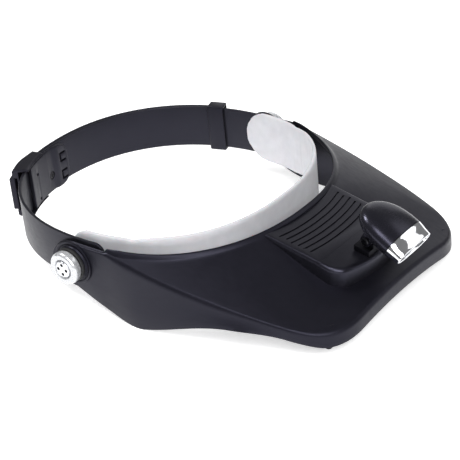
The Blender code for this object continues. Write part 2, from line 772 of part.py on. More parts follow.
def visor_section(point, inward, rim):
    """One closed cross-section of the shell at a station of its outline."""
    top = wall_top(point)
    bottom = wall_bottom(point, top)
    across = rim - point
    width = across.length
    across = across.normalized()

    def on_top(spot, drop=0.0):
        level = top_z(spot.x, spot.y) if width > 2.5 else top
        return Vector((spot.x, spot.y, level - drop))

    lip = min(RIM_LIP_WIDTH, 0.3 * width)
    rise = RIM_LIP_HEIGHT * min(1.0, width / 6.0)
    radius = min(CREASE_RADIUS, 0.28 * (top - bottom), 0.45 * width)
    crease = Vector((point.x, point.y, top))
    start = on_top(point + across * radius)
    down = crease - Vector((0, 0, radius))
    base = on_top(rim - across * (lip + 0.35 * rise))
    section = [on_top(rim, -rise), on_top(rim - across * lip, -rise), base]
    for i in range(1, 5):
        spot = base.lerp(start, i / 5)
        section.append(on_top(Vector((spot.x, spot.y, 0))))
    for i in range(4):
        t = i / 3
        section.append(start.lerp(crease, t).lerp(crease.lerp(down, t), t))
    lean = inward * flare(point)
    foot = Vector((point.x, point.y, bottom)) - lean
    section += [down.lerp(foot, 0.5), foot + Vector((0, 0, 0.35)), foot + inward * 0.35]
    inner = point + inward * VISOR_WALL
    inner_foot = Vector((inner.x, inner.y, bottom)) - lean
    inner_top = on_top(inner, VISOR_WALL)
    section += [inner_foot, inner_foot.lerp(inner_top, 0.5), inner_top]
    for i in range(1, 4):
        spot = inner.lerp(rim, i / 4)
        section.append(on_top(spot, VISOR_WALL))
    section.append(on_top(rim, VISOR_WALL))
    return section


def visor_stations():
    """Outline point, inward direction and rim point for the whole visor, left to right."""
    ear, side, bend, front = outline_half()
    half = ear + side + bend + front
    first = len(ear)
    run = travelled(half[first:])
    stations = []
    for i, point in enumerate(half):
        before = half[max(i - 1, 0)]
        after = half[min(i + 1, len(half) - 1)]
        step = after - before
        inward = Vector((step.y, -step.x, 0)).normalized()
        if i < first:
            inward = Vector((-1, 0, 0))
            rim = Vector((EAR_X - VISOR_WALL - 0.5, point.y, 0))
        else:
            rim = sample(RIM_TABLE, run[i - first] / run[-1])
        if i == len(half) - 1:
            inward = Vector((0, 1, 0))
        stations.append((point, inward, rim))
    flip = Matrix.Diagonal((-1, 1, 1))
    mirrored = [tuple(flip @ part for part in station) for station in stations[:-1]]
    return stations + mirrored[::-1]


def ear_boss(side):
    """The raised round boss on the ear, with two crescent ridges round it."""
    place = along_x(0, PIVOT_Y, PIVOT_Z, side)
    low, high, edge = EAR_X - 0.6, EAR_X + BOSS_HEIGHT, BOSS_RADIUS
    profile = [(2.0, low), (edge, low), (edge, high - 1.0), (edge - 0.5, high - 0.6),
               (edge - 1.2, high - 0.6), (edge - 1.7, high - 1.1), (edge - 2.2, high - 1.1),
               (edge - 2.7, high), (2.0, high)]
    return turned("boss", profile, place, 32)


def lens_lug(side):
    """A lug under the visor's front corner that carries one lens hinge pin."""
    x = side * (LENS_HALF_WIDTH + LENS_BORDER + 3.4)
    top = top_z(x, LENS_AXIS_Y) - 0.6
    outline = [(LENS_AXIS_Y - 3.4, top), (LENS_AXIS_Y + 4.4, top)]
    for i in range(9):
        turn = math.radians(-180.0 * i / 8)
        outline.append((LENS_AXIS_Y + 3.2 * math.cos(turn), LENS_AXIS_Z + 3.2 * math.sin(turn)))
    rings = []
    for dx in (-1.5, 1.5):
        rings.append([Vector((x + dx, y, z)) for y, z in outline])
    return loft("lug", rings)


def box_plan(inset=0.0, rear_extra=0.0, front_y=None):
    """Outline of the battery box seen from above: arc rear edge, straight sides, bowed front."""
    half = BOX_HALF_WIDTH - inset
    rear_arc = [p for p in rim_arc(BOX_RIM_SPACE + inset + rear_extra) if p.x < half]
    growth = BOX_RIM_SPACE + inset + rear_extra
    share = half / (RIM_HALF + growth)
    drop = (1 - share ** RIM_POWER) ** (1 / RIM_POWER)
    corner_y = RIM_CENTRE_Y - (RIM_DEPTH + growth) * drop
    right_rear = [(half, corner_y)] + [(p.x, p.y) for p in rear_arc[::3]]
    if right_rear[-1][0] > 1e-6:
        right_rear.append((0.0, rear_arc[-1].y))
    rear = right_rear + [(-x, y) for x, y in right_rear[-2::-1]]
    if front_y is not None:
        return rear + [(-half, front_y), (half, front_y)]
    front = []
    for i in range(13):
        share = -1 + 2 * i / 12
        x = half * share
        corner = 5.0 * max(0.0, (abs(share) - 0.82) / 0.18) ** 2.2
        front.append((x, BOX_FRONT_Y + inset + BOX_FRONT_SAG * share ** 2 + corner))
    return rear + front


def box_top(x, y):
    """Height of the battery box's top plane."""
    return BOX_REAR_TOP + BOX_SLOPE * (y - BOX_REAR_Y)


def build_visor():
    """The one-piece shell: arched top, side walls, front lip, raised rim, ears and lens lugs."""
    rings = [visor_section(*station) for station in visor_stations()]
    shell = loft("visor_shell", rings)
    weld(shell, [ear_boss(-1), ear_boss(1), lens_lug(-1), lens_lug(1)])
    opening = prism("cutter", box_plan(-GAP, GAP), -30, 60)
    holes = [pivot_hole(side, 2.9, 70, 90) for side in (-1, 1)]
    reach = LENS_HALF_WIDTH + LENS_BORDER
    for side in (-1, 1):
        profile = [(0, reach), (1.3, reach), (1.3, reach + 5.5), (0, reach + 5.5)]
        place = along_x(0, LENS_AXIS_Y, LENS_AXIS_Z, side)
        holes.append(turned("cutter", profile, place, 20))
    carve(shell, [opening] + holes)
    finish(shell, "visor_shell", "black_plastic", (0, PIVOT_Y, PIVOT_Z))


# ---------------------------------------------------------------- battery box

def build_box():
    """The tray that drops through the visor's top and holds the batteries."""
    def under_lid(x, y):
        return box_top(x, y) - LID_THICKNESS - GAP

    def floor(x, y):
        return box_top(x, y) - BOX_DEPTH

    tray = prism("battery_box", box_plan(), floor, box_top)
    soften(tray, 0.9, 2, 60)
    cell_front = AAA_REAR_Y - AAA_PITCH - AAA_RADIUS - 0.9
    bay = prism("cutter", box_plan(BOX_WALL, 0, cell_front), lambda x, y: floor(x, y) + BOX_WALL,
                lambda x, y: box_top(x, y) + 5)
    seat = prism("cutter", [(-40, -60), (-40, LID_FRONT_Y), (40, LID_FRONT_Y), (40, -60)], under_lid,
                 lambda x, y: box_top(x, y) + 5)
    nose = [(-25.5, cell_front - 1.8), (-25.5, -114.0), (-20, -118.5), (20, -118.5), (25.5, -114.0),
            (25.5, cell_front - 1.8)]
    pocket = prism("cutter", nose, lambda x, y: floor(x, y) - 5, lambda x, y: box_top(x, y) - 2.0)
    slot = block("cutter", (6.0, 9.6, 3.4), box_frame(BOX_HALF_WIDTH, SWITCH_Y),
                 (0, 0, -SWITCH_DROP))
    carve(tray, [bay, seat, pocket, slot])
    finish(tray, "battery_box", "black_plastic", (0, -100, box_top(0, -100)), smooth=False)

    lid = prism("battery_cover", box_plan(0, 0, LID_FRONT_Y + GAP),
                lambda x, y: box_top(x, y) - LID_THICKNESS, box_top)
    soften(lid, 0.4, 2, 60)
    carve(lid, [lid_groove(i) for i in range(GROOVE_COUNT)])
    finish(lid, "battery_cover", "black_plastic", (0, -92, box_top(0, -92)), smooth=False)


def box_frame(x, y):
    """Frame on the box's top plane: local X to the left, local Y rearward, local Z up."""
    slope = math.atan(BOX_SLOPE)
    up = (0, -math.sin(slope), math.cos(slope))
    return frame_matrix((x, y, box_top(x, y)), (1, 0, 0), up)


def lid_groove(index):
    """A shallow arc groove that runs beside the visor's rim."""
    start = BOX_RIM_SPACE + GROOVE_START + index * GROOVE_PITCH
    edges = []
    for offset in (start + GROOVE_WIDTH, start):
        arc = [(p.x, p.y) for p in rim_arc(offset) if p.x < BOX_HALF_WIDTH + 4]
        edges.append([p for p in arc[::5] if p[0] > 0.01] + [(0.0, arc[-1][1])])
    far, near = edges
    outline = far + [(-x, y) for x, y in far[-2::-1]]
    outline += [(-x, y) for x, y in near] + near[-2::-1]
    return prism("cutter", outline, lambda x, y: box_top(x, y) - GROOVE_DEPTH,
                 lambda x, y: box_top(x, y) + 3)


def battery_place(index):
    """Centre line of a battery, index 0 at the rear."""
    y = AAA_REAR_Y - index * AAA_PITCH
    z = box_top(0, y) - LID_THICKNESS - 2 * GAP - AAA_RADIUS - 0.5
    return y, z


def build_batteries():
    """Two AAA cells, their springs and their contact plates."""
    inner = BOX_HALF_WIDTH - BOX_WALL
    for index, word in enumerate(("rear", "front")):
        y, z = battery_place(index)
        side = -1 if index else 1
        place = along_x(side * (inner - 1.2 - GAP), y, z, -side)
        body = turned("cell", [(0, 0), (1.85, 0), (1.85, 1.0), (AAA_RADIUS - 0.5, 1.0),
                               (AAA_RADIUS, 1.5), (AAA_RADIUS, AAA_LENGTH - 0.5),
                               (AAA_RADIUS - 0.5, AAA_LENGTH), (0, AAA_LENGTH)], place, 24)
        finish(body, "battery_" + word, "battery_jacket", (0, y, z))
        room = 2 * inner - 2 * 1.2 - 2 * GAP - AAA_LENGTH
        foot = along_x(-side * (inner - 1.2 - 0.55), y, z, side)
        spring = coil("spring", 3.6, 0.35, room - 1.2, 3.0, foot, 10, 5, 0.55)
        finish(spring, "contact_spring_" + word, "steel", (-side * inner, y, z))
    y_mid = AAA_REAR_Y - AAA_PITCH / 2
    z_mid = (battery_place(0)[1] + battery_place(1)[1]) / 2
    tilt = box_frame(0, y_mid)
    for side, word in ((-1, "right"), (1, "left")):
        plate = rounded_block("plate", (0.5, 20.0, 8.6), 0.15, None, segments=1)
        spin = Matrix.Translation((side * (inner - GAP - 0.25), y_mid, z_mid))
        plate.data.transform(spin @ tilt.to_3x3().to_4x4())
        finish(plate, "contact_plate_" + word, "steel", (side * inner, y_mid, z_mid), smooth=False)


def build_switch():
    """The lamp's slide switch in the box's left side, standing at the rear of its slot."""
    place = box_frame(BOX_HALF_WIDTH, SWITCH_Y)
    rest = Vector((0.0, 1.6, -SWITCH_DROP))
    slider = rounded_block("lamp_switch", (3.6, 5.4, 2.8), 0.4, None, rest, 2)
    ridges = []
    for step in (-1.4, 0.0, 1.4):
        ridges.append(block("cutter", (1.0, 0.5, 4.0), None, rest + Vector((1.8, step, 0.0))))
    carve(slider, ridges)
    slider.data.transform(place)
    finish(slider, "lamp_switch", "black_plastic", place @ rest, smooth=False)


# ---------------------------------------------------------------- lamp

def lamp_frame():
    """Frame at the middle of the lamp's front: local X left, local Y forward, local Z up."""
    pitch = math.radians(LAMP_PITCH)
    up = (0, -math.sin(pitch), math.cos(pitch))
    return frame_matrix(LAMP_FRONT, (-1, 0, 0), up)


def lamp_ring(half_width, half_height, back, power, lift=0.0, count=24):
    """A squared-off oval section of the lamp at a distance behind its front."""
    ring = []
    for i in range(count):
        turn = 2 * math.pi * i / count
        x = half_width * signed_power(math.cos(turn), 2 / power)
        z = half_height * signed_power(math.sin(turn), 2 / power)
        ring.append(Vector((x, -back, z + lift)))
    return ring


def lamp_size(back, shrink=0.0):
    """Half-width and half-height of the housing at a distance behind the front."""
    share = min(max((back - BEZEL_LENGTH) / (LAMP_LENGTH - shrink - BEZEL_LENGTH), 0.0), 0.999)
    width = (LAMP_HALF_WIDTH - shrink) * (1 - share ** 2.6) ** 0.5
    height = (LAMP_HALF_HEIGHT - shrink) * (1 - share ** 2.6) ** 0.5
    return width, height


def cup(name, outer, inner):
    """A hollow shell from outer and inner sections, both listed from the open end to the closed end."""
    count = len(outer[0])
    verts = [p for ring in outer + inner for p in ring]
    faces = []

    def skin(first, second):
        for j in range(count):
            k = (j + 1) % count
            faces.append((first * count + j, first * count + k, second * count + k, second * count + j))

    for i in range(len(outer) - 1):
        skin(i, i + 1)
    shift = len(outer)
    for i in range(len(inner) - 1):
        skin(shift + i, shift + i + 1)
    skin(0, shift)
    faces.append(tuple((shift - 1) * count + j for j in range(count)))
    faces.append(tuple((shift + len(inner) - 1) * count + j for j in range(count)))
    return mesh_object(name, verts, faces)


def tube(name, outer, inner):
    """A tube from outer and inner sections, open at both ends."""
    rings = outer + inner[::-1]
    count = len(rings[0])
    verts = [p for ring in rings for p in ring]
    faces = []
    for i in range(len(rings)):
        n = (i + 1) % len(rings)
        for j in range(count):
            k = (j + 1) % count
            faces.append((i * count + j, i * count + k, n * count + k, n * count + j))
    return mesh_object(name, verts, faces)


def build_lamp_head():
    """Housing, chrome bezel, reflector, window, board and two LEDs."""
    place = lamp_frame()
    shares = [0, 0.08, 0.18, 0.3, 0.42, 0.54, 0.66, 0.76, 0.85, 0.92, 0.965, 0.99]
    start = BEZEL_LENGTH
    outer, inner = [], []
    for share in shares:
        back = start + (LAMP_LENGTH - start) * share
        outer.append(lamp_ring(*lamp_size(back), back, LAMP_SQUARENESS, -LAMP_DROOP * share ** 2))
    for share in shares:
        back = start + (LAMP_LENGTH - LAMP_WALL - start) * share
        inner.append(lamp_ring(*lamp_size(back, LAMP_WALL), back, LAMP_SQUARENESS, -LAMP_DROOP * share ** 2))
    housing = cup("lamp_housing", outer, inner)
    housing.data.transform(place)
    lugs = [lamp_lug(side) for side in (-1, 1)]
    weld(housing, lugs)
    bore = turned("cutter", [(0, -12), (1.3, -12), (1.3, 12), (0, 12)],
                  along_x(0, LAMP_AXIS_Y, LAMP_AXIS_Z), 20)
    carve(housing, [bore])
    pivot = (0, LAMP_AXIS_Y, LAMP_AXIS_Z)
    finish(housing, "lamp_housing", "black_plastic", pivot)

    back = BEZEL_LENGTH - GAP
    front_w, front_h = LAMP_HALF_WIDTH - 0.6, LAMP_HALF_HEIGHT - 1.4
    outer = [lamp_ring(front_w - 0.3, front_h - 0.3, 0, LAMP_SQUARENESS),
             lamp_ring(front_w, front_h, 0.4, LAMP_SQUARENESS),
             lamp_ring(LAMP_HALF_WIDTH, LAMP_HALF_HEIGHT, back - 0.6, LAMP_SQUARENESS),
             lamp_ring(LAMP_HALF_WIDTH, LAMP_HALF_HEIGHT, back, LAMP_SQUARENESS)]
    inner = []
    for depth in (0, 0.5, back - 0.6, back):
        inner.append(lamp_ring(front_w - 1.1, front_h - 1.1, depth, LAMP_SQUARENESS))
    bezel = tube("lamp_bezel", outer, inner)
    bezel.data.transform(place)
    finish(bezel, "lamp_bezel", "chrome", pivot)

    fit_w, fit_h = front_w - 1.1 - GAP, front_h - 1.1 - GAP
    window = loft("lamp_window", [lamp_ring(fit_w, fit_h, 0.5, LAMP_SQUARENESS),
                                  lamp_ring(fit_w, fit_h, 1.4, LAMP_SQUARENESS)])
    window.data.transform(place)
    finish(window, "lamp_window", "clear_acrylic", pivot)

    dish = loft("lamp_reflector", [lamp_ring(fit_w, fit_h, 2.0, LAMP_SQUARENESS),
                                   lamp_ring(fit_w, fit_h, 7.2, LAMP_SQUARENESS)])
    bowls = []
    for side in (-1, 1):
        axis = frame_matrix((side * LED_SPACING / 2, 0, 0), (1, 0, 0), (0, -1, 0))
        bowls.append(turned("cutter", [(0, -1), (3.3, -1), (3.3, 2.0), (3.0, 3.6), (2.5, 5.2),
                                       (2.5, 9.0), (0, 9.0)], axis, 24))
    carve(dish, bowls)
    dish.data.transform(place)
    finish(dish, "lamp_reflector", "chrome", pivot)

    board = rounded_block("lamp_board", (20.0, 1.2, 6.2), 0.3, None, (0, -8.9, 0), 1)
    board.data.transform(place)
    finish(board, "lamp_board", "board_green", pivot, smooth=False)
    for side, word in ((1, "right"), (-1, "left")):
        axis = place @ frame_matrix((side * LED_SPACING / 2, 0, 0), (1, 0, 0), (0, 1, 0))
        led = turned("led", [(0, -8.0), (LED_RADIUS, -8.0), (LED_RADIUS, -5.0), (2.0, -4.2),
                             (1.65, -3.6), (1.0, -3.15), (0, -3.0)], axis, 24)
        finish(led, "led_" + word, "led_lens", pivot)


def lamp_lug(side):
    """One of the two lugs that join the housing to its hinge pin."""
    base = lamp_frame()
    pivot = base.inverted() @ Vector((0, LAMP_AXIS_Y, LAMP_AXIS_Z))
    outline = [(pivot.y - 3.0, -LAMP_HALF_HEIGHT + 0.8), (pivot.y + 3.0, -LAMP_HALF_HEIGHT + 0.8)]
    for i in range(9):
        turn = math.radians(-180.0 * i / 8)
        outline.append((pivot.y + 3.0 * math.cos(turn), pivot.z + 3.0 * math.sin(turn)))
    rings = []
    for x in (side * 5.3, side * 7.8):
        rings.append([base @ Vector((x, y, z)) for y, z in outline])
    return loft("lug", rings)


def build_lamp_mount():
    """The bracket on the box's front deck and the steel pin through it."""
    deck = box_top(0, LAMP_AXIS_Y) + GAP
    front, rear = LAMP_AXIS_Y - 2.4, LAMP_AXIS_Y + 6
    foot = [(-9, front), (9, front), (9, rear), (-9, rear)]
    bracket = prism("lamp_bracket", foot, lambda x, y: box_top(x, y) + GAP,
                    lambda x, y: box_top(x, y) + GAP + 2.6)
    outline = [(LAMP_AXIS_Y + 3.0, deck + 0.9), (LAMP_AXIS_Y - 2.3, deck + 0.4)]
    for i in range(11):
        turn = math.radians(180 - 180.0 * i / 10)
        outline.append((LAMP_AXIS_Y + 2.8 * math.cos(turn), LAMP_AXIS_Z + 2.8 * math.sin(turn)))
    rings = [[Vector((x, y, z)) for y, z in outline] for x in (-5.0, 5.0)]
    weld(bracket, [loft("knuckle", rings)])
    bore = turned("cutter", [(0, -12), (1.3, -12), (1.3, 12), (0, 12)],
                  along_x(0, LAMP_AXIS_Y, LAMP_AXIS_Z), 20)
    carve(bracket, [bore])
    finish(bracket, "lamp_bracket", "black_plastic", (0, LAMP_AXIS_Y, deck), smooth=False)
    pin = turned("lamp_pin", [(0, -8.4), (1.0, -8.4), (1.0, 8.1), (2.1, 8.1), (2.1, 8.7), (1.6, 9.1),
                              (0, 9.1)], along_x(0, LAMP_AXIS_Y, LAMP_AXIS_Z, -1), 20)
    finish(pin, "lamp_pin", "black_steel", (0, LAMP_AXIS_Y, LAMP_AXIS_Z))


# ---------------------------------------------------------------- lens

def lens_frame_matrix():
    """Frame at the lens hinge: local X left, local Y rearward along the folded lens."""
    slope = math.radians(LENS_FOLD_SLOPE)
    up = (0, -math.sin(slope), math.cos(slope))
    return frame_matrix((0, LENS_AXIS_Y, LENS_AXIS_Z), (1, 0, 0), up)


def rounded_plan(half, low, high, radius, steps=6):
    """A rectangle with rounded corners, seen from above."""
    corners = ((half, high, 0), (-half, high, 90), (-half, low, 180), (half, low, 270))
    outline = []
    for x, y, start in corners:
        cx = x - math.copysign(radius, x)
        cy = y - radius if y == high else y + radius
        for i in range(steps + 1):
            turn = math.radians(start + 90.0 * i / steps)
            outline.append((cx + radius * math.cos(turn), cy + radius * math.sin(turn)))
    return outline


def build_lens():
    """The folding frame, the clear lens plate in it and the two hinge pins."""
    place = lens_frame_matrix()
    half = LENS_HALF_WIDTH + LENS_BORDER
    rear = LENS_LENGTH + 2 * LENS_BORDER - 1.0
    frame = prism("lens_frame", rounded_plan(half, 1.6, rear, 6.0), -2.0, 2.0)
    soften(frame, 0.5, 1, 60)
    knuckles = []
    for side in (-1, 1):
        profile = [(0, half - 7.0), (2.6, half - 7.0), (2.6, half - 0.1), (0, half - 0.1)]
        knuckles.append(turned("knuckle", profile, along_x(0, 0, 0, side), 24))
    weld(frame, knuckles)
    seat_low, seat_high = 1.6 + LENS_BORDER, rear - LENS_BORDER
    sight = rounded_plan(LENS_HALF_WIDTH - 1.2, seat_low + 1.2, seat_high - 1.2, 3.5)
    through = prism("cutter", sight, -5, 5)
    rebate = prism("cutter", rounded_plan(LENS_HALF_WIDTH, seat_low, seat_high, 4.5), -0.9, 5)
    bores = []
    for side in (-1, 1):
        profile = [(0, half - 5.0), (1.3, half - 5.0), (1.3, half + 4), (0, half + 4)]
        bores.append(turned("cutter", profile, along_x(0, 0, 0, side), 20))
    carve(frame, [rebate, through] + bores)
    frame.data.transform(place)
    pivot = (0, LENS_AXIS_Y, LENS_AXIS_Z)
    finish(frame, "lens_frame", "black_plastic", pivot, smooth=False)

    outline = rounded_plan(LENS_HALF_WIDTH - GAP, seat_low + GAP, seat_high - GAP, 4.2)
    middle = (seat_low + seat_high) / 2

    def crown(x, y):
        reach = (x / LENS_HALF_WIDTH) ** 2 + ((y - middle) / (seat_high - middle)) ** 2
        return -0.6 + LENS_THICKNESS * (1 - 0.35 * reach)

    lens = lens_solid(outline, (0, middle), -0.6, crown)
    lens.data.transform(place)
    finish(lens, "lens_plate", "clear_acrylic", place @ Vector((0, middle, 0)))
    for side, word in ((-1, "right"), (1, "left")):
        reach = half + 0.2
        profile = [(0, reach - 4.6), (1.0, reach - 4.6), (1.0, reach + 4.9), (0, reach + 4.9)]
        pin = turned("pin", profile, along_x(0, LENS_AXIS_Y, LENS_AXIS_Z, side), 20)
        finish(pin, "lens_pin_" + word, "steel", pivot)


def lens_solid(outline, centre, low, crown):
    """A plano-convex plate: flat below, crowned above, rising in steps from its edge."""
    cx, cy = centre
    rings = [[Vector((x, y, low)) for x, y in outline]]
    for share in (1.0, 0.86, 0.7, 0.52, 0.34, 0.16, 0.04):
        ring = []
        for x, y in outline:
            px, py = cx + (x - cx) * share, cy + (y - cy) * share
            ring.append(Vector((px, py, crown(px, py))))
        rings.append(ring)
    return loft("lens_plate", rings)


# ---------------------------------------------------------------- standing it up

def ground_tilt():
    """Angle about X at which the visor's side feet and front lugs share one flat floor."""
    points = [v.co.copy() for v in PARTS["visor_shell"][0].data.vertices]
    feet = [p for p in points if p.y > WALL_ARCH_Y]
    front = [p for p in points if p.y < WALL_ARCH_Y]
    low, high = math.radians(-15), math.radians(15)
    for _ in range(50):
        middle = (low + high) / 2
        turn = Matrix.Rotation(-middle, 3, "X")
        if min((turn @ p).z for p in front) < min((turn @ p).z for p in feet):
            low = middle
        else:
            high = middle
    return (low + high) / 2


def stand_up():
    """Turn, centre and scale every piece, then put each origin on its own axis."""
    turn = Matrix.Rotation(-ground_tilt(), 4, "X")
    corners = []
    for obj, _ in PARTS.values():
        obj.data.transform(turn)
        corners += [v.co.copy() for v in obj.data.vertices]
    low = Vector([min(c[i] for c in corners) for i in range(3)])
    high = Vector([max(c[i] for c in corners) for i in range(3)])
    shift = Matrix.Translation((-(low.x + high.x) / 2, -(low.y + high.y) / 2, -low.z))
    scale = Matrix.Scale(0.001, 4)
    for obj, origin in PARTS.values():
        place = scale @ shift @ turn @ origin
        obj.data.transform(Matrix.Translation(-place) @ scale @ shift)
        obj.location = place


def main():
    clear_scene()
    build_straps()
    build_pad()
    build_keeper()
    build_adjuster_base()
    build_adjuster_cover()
    build_adjuster_button()
    build_pivots()
    build_visor()
    build_box()
    build_batteries()
    build_switch()
    build_lamp_head()
    build_lamp_mount()
    build_lens()
    stand_up()


main()
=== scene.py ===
"""Scene for the head visor magnifier: fine surfaces, materials, light and camera.

Shapes are modelled in millimetres in the headband's own frame: -Y is forward, +Z is up, +X is the
wearer's left, z = 0 is the strap's lower edge. to_frame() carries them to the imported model's frame.
"""

import json
import math

import bmesh
import bpy
import numpy as np
from mathutils import Matrix, Vector

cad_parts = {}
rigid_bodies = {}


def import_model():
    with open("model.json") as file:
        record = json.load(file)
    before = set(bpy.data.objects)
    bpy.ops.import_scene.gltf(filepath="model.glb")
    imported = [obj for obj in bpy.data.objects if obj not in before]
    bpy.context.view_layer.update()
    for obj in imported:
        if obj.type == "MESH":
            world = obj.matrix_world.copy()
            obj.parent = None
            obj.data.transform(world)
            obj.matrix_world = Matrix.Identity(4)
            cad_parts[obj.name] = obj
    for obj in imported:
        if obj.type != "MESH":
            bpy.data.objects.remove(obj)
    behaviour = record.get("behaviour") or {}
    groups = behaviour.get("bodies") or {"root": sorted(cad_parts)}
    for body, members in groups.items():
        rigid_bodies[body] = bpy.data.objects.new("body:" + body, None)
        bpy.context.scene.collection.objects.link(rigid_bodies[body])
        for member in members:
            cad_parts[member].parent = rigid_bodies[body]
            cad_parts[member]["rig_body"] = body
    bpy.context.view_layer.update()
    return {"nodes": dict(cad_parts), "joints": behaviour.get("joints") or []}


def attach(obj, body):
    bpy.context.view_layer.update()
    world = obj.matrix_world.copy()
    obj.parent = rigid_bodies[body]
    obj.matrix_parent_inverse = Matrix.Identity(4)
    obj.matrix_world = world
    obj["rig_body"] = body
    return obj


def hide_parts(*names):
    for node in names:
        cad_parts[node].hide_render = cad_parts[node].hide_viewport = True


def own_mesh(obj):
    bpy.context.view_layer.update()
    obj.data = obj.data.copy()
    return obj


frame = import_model()
JOINTS = {joint["name"]: joint for joint in frame["joints"]}
MM = 0.001
GAP = 0.3       # clearance between pieces, as in the CAD
SEAM = 0.06     # finer clearance round the battery box and its lid

# Headband oval
BAND_HALF_WIDTH = 76.3
BAND_FRONT = 70.7
BAND_REAR = 83.0
BAND_FRONT_POWER = 2.28
BAND_REAR_POWER = 2.16
BAND_STEPS = 720
STRAP_HEIGHT = 24.0
STRAP_THICKNESS = 1.6
STRAP_FRONT_ANGLE = -11.0
LONG_STRAP_END_ANGLE = 19.6
SHORT_STRAP_END_ANGLE = 104.0

# Forehead pad
PAD_OUTER = -2.8
PAD_THICKNESS = 2.4
PAD_TOP = 28.1
PAD_BOTTOM = 1.0
LOBE_BOTTOM = -2.0
LOBE_TOP = 27.6
LOBE_END_ANGLE = 7.2
LOBE_LENGTH = 56.0
LOBE_FADE = 20.0
NECK_RUN = 40.0
NECK_DIP = 0.7
CLOTH_FRAMES = 20

# Pivots
PIVOT_Y = 1.9
PIVOT_Z = 12.0
EAR_X = 80.4
EAR_RADIUS = 14.0
EAR_TOP = 10.3
BOSS_RADIUS = 11.4
BOSS_HEIGHT = 1.5
KNOB_RADIUS = 8.6
KNOB_LENGTH = 4.6
KNOB_BORE = 1.7
KNOB_RECESS_RADIUS = 4.6
KNOB_RECESS_DEPTH = 1.4
SCREW_HEAD_RADIUS = 4.35
PIT_CIRCLE = 2.5
PIT_RADIUS = 0.9
COLLAR_RADIUS = 8.9
COLLAR_LENGTH = 1.7

# Visor shell
VISOR_WALL = 1.6
CROWN_Z = 53.5
SLOPE = math.tan(math.radians(20.4))
ARCH_REAR = 4.02e-3
ARCH_FRONT = 1.85e-3
SIDE_REAR_HALF = 80.4
SIDE_FRONT_HALF = 57.4
SIDE_START_Y = -16.5
VISOR_FRONT_Y = -136.6
SIDE_BOW = 6.0
CORNER_CUT = 21.8
RIM_HALF = 80.9
RIM_DEPTH = 88.5
RIM_CENTRE_Y = 8.8
RIM_POWER = 2.18
RIM_LIP_WIDTH = 1.5
RIM_LIP_HEIGHT = 1.2
CREASE_RADIUS = 3.2
LIP_HEIGHT = 7.8
FOOT_Y = -38.0
FOOT_Z = -13.6
FLARE = 2.0
WALL_ARCH_Y = -88.0
WALL_ARCH_Z = -2.3
HOLLOW = 4.0
HOLLOW_HALF_WIDTH = 62.0

# Battery box
BOX_HALF_WIDTH = 29.2
BOX_SLOPE = math.tan(math.radians(12.6))
BOX_REAR_TOP = 23.7
BOX_REAR_Y = -76.0
BOX_RIM_SPACE = 2.2
BOX_DEPTH = 15.4
BOX_WALL = 1.6
BOX_FRONT_Y = -125.0
BOX_FRONT_SAG = 6.5
BOX_EDGE = 2.3
LID_FRONT_Y = -108.6
LID_THICKNESS = 1.7
GROOVE_COUNT = 6
GROOVE_START = 4.2
GROOVE_PITCH = 3.3
GROOVE_WIDTH = 0.9
GROOVE_DEPTH = 0.7
GROOVE_MARGIN = 3.4
AAA_RADIUS = 5.2
AAA_PITCH = 11.2
AAA_REAR_Y = -89.6
SWITCH_Y = -111.0
SWITCH_DROP = 5.0
SWITCH_SLOT = (6.0, 9.6, 3.4)
POCKET_HALF_WIDTH = 25.5
POCKET_NOSE_HALF_WIDTH = 20.0
POCKET_SIDE_Y = -114.0
POCKET_FRONT_Y = -118.5
POCKET_ROOF = 2.0

# Lamp
LAMP_PITCH = 32.0
LAMP_FRONT = (0.0, -143.2, 19.0)
LAMP_HALF_WIDTH = 14.3
LAMP_HALF_HEIGHT = 6.6
LAMP_LENGTH = 31.5
LAMP_DROOP = 1.0
LAMP_WALL = 1.3
LAMP_SQUARENESS = 2.4
BEZEL_LENGTH = 8.0
LAMP_AXIS_Y = -121.0
LAMP_AXIS_Z = 21.0
LAMP_LUG_RADIUS = 3.0

# Folding lens
LENS_AXIS_Y = -126.0
LENS_AXIS_Z = -10.2
LENS_HALF_WIDTH = 43.0
LENS_BORDER = 3.2
LENS_LUG_RADIUS = 3.2

# Camera, at the photograph's viewing angle
VIEW_AZIMUTH = -49.97
VIEW_ELEVATION = 29.58
VIEW_ROLL = -5.79
VIEW_DISTANCE = 0.8124
VIEW_AIM = (0.00741, 0.00440, 0.00648)
VIEW_LENS = 121.54


# ---- frame

def stance():
    """Matrix from the headband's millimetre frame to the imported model's frame."""
    hinge = Vector(JOINTS["visor_tilt"]["pos_m"])
    lens = Vector(JOINTS["lens_fold"]["pos_m"])
    own = math.atan2(LENS_AXIS_Z - PIVOT_Z, LENS_AXIS_Y - PIVOT_Y)
    packed = math.atan2(lens.z - hinge.z, lens.y - hinge.y)
    turn = Matrix.Rotation(packed - own, 4, "X")
    scaled = Matrix.Scale(MM, 4) @ turn
    shift = hinge - scaled @ Vector((0.0, PIVOT_Y, PIVOT_Z))
    return Matrix.Translation(shift) @ scaled


STANCE = stance()


# ---- mesh tools

def add_object(name, data):
    """Put a new object with this data into the scene."""
    obj = bpy.data.objects.new(name, data)
    bpy.context.scene.collection.objects.link(obj)
    return obj


def bake_modifiers(obj):
    """Replace an object's mesh by what its modifiers make of it."""
    graph = bpy.context.evaluated_depsgraph_get()
    result = bpy.data.meshes.new_from_object(obj.evaluated_get(graph))
    obj.modifiers.clear()
    obj.data = result


def mesh_object(name, verts, faces):
    """Make one mesh object with outward normals, still in millimetres."""
    mesh = bpy.data.meshes.new(name)
    mesh.from_pydata([tuple(v) for v in verts], [], [tuple(f) for f in faces])
    solid = bmesh.new()
    solid.from_mesh(mesh)
    bmesh.ops.recalc_face_normals(solid, faces=solid.faces)
    solid.to_mesh(mesh)
    solid.free()
    return add_object(name, mesh)


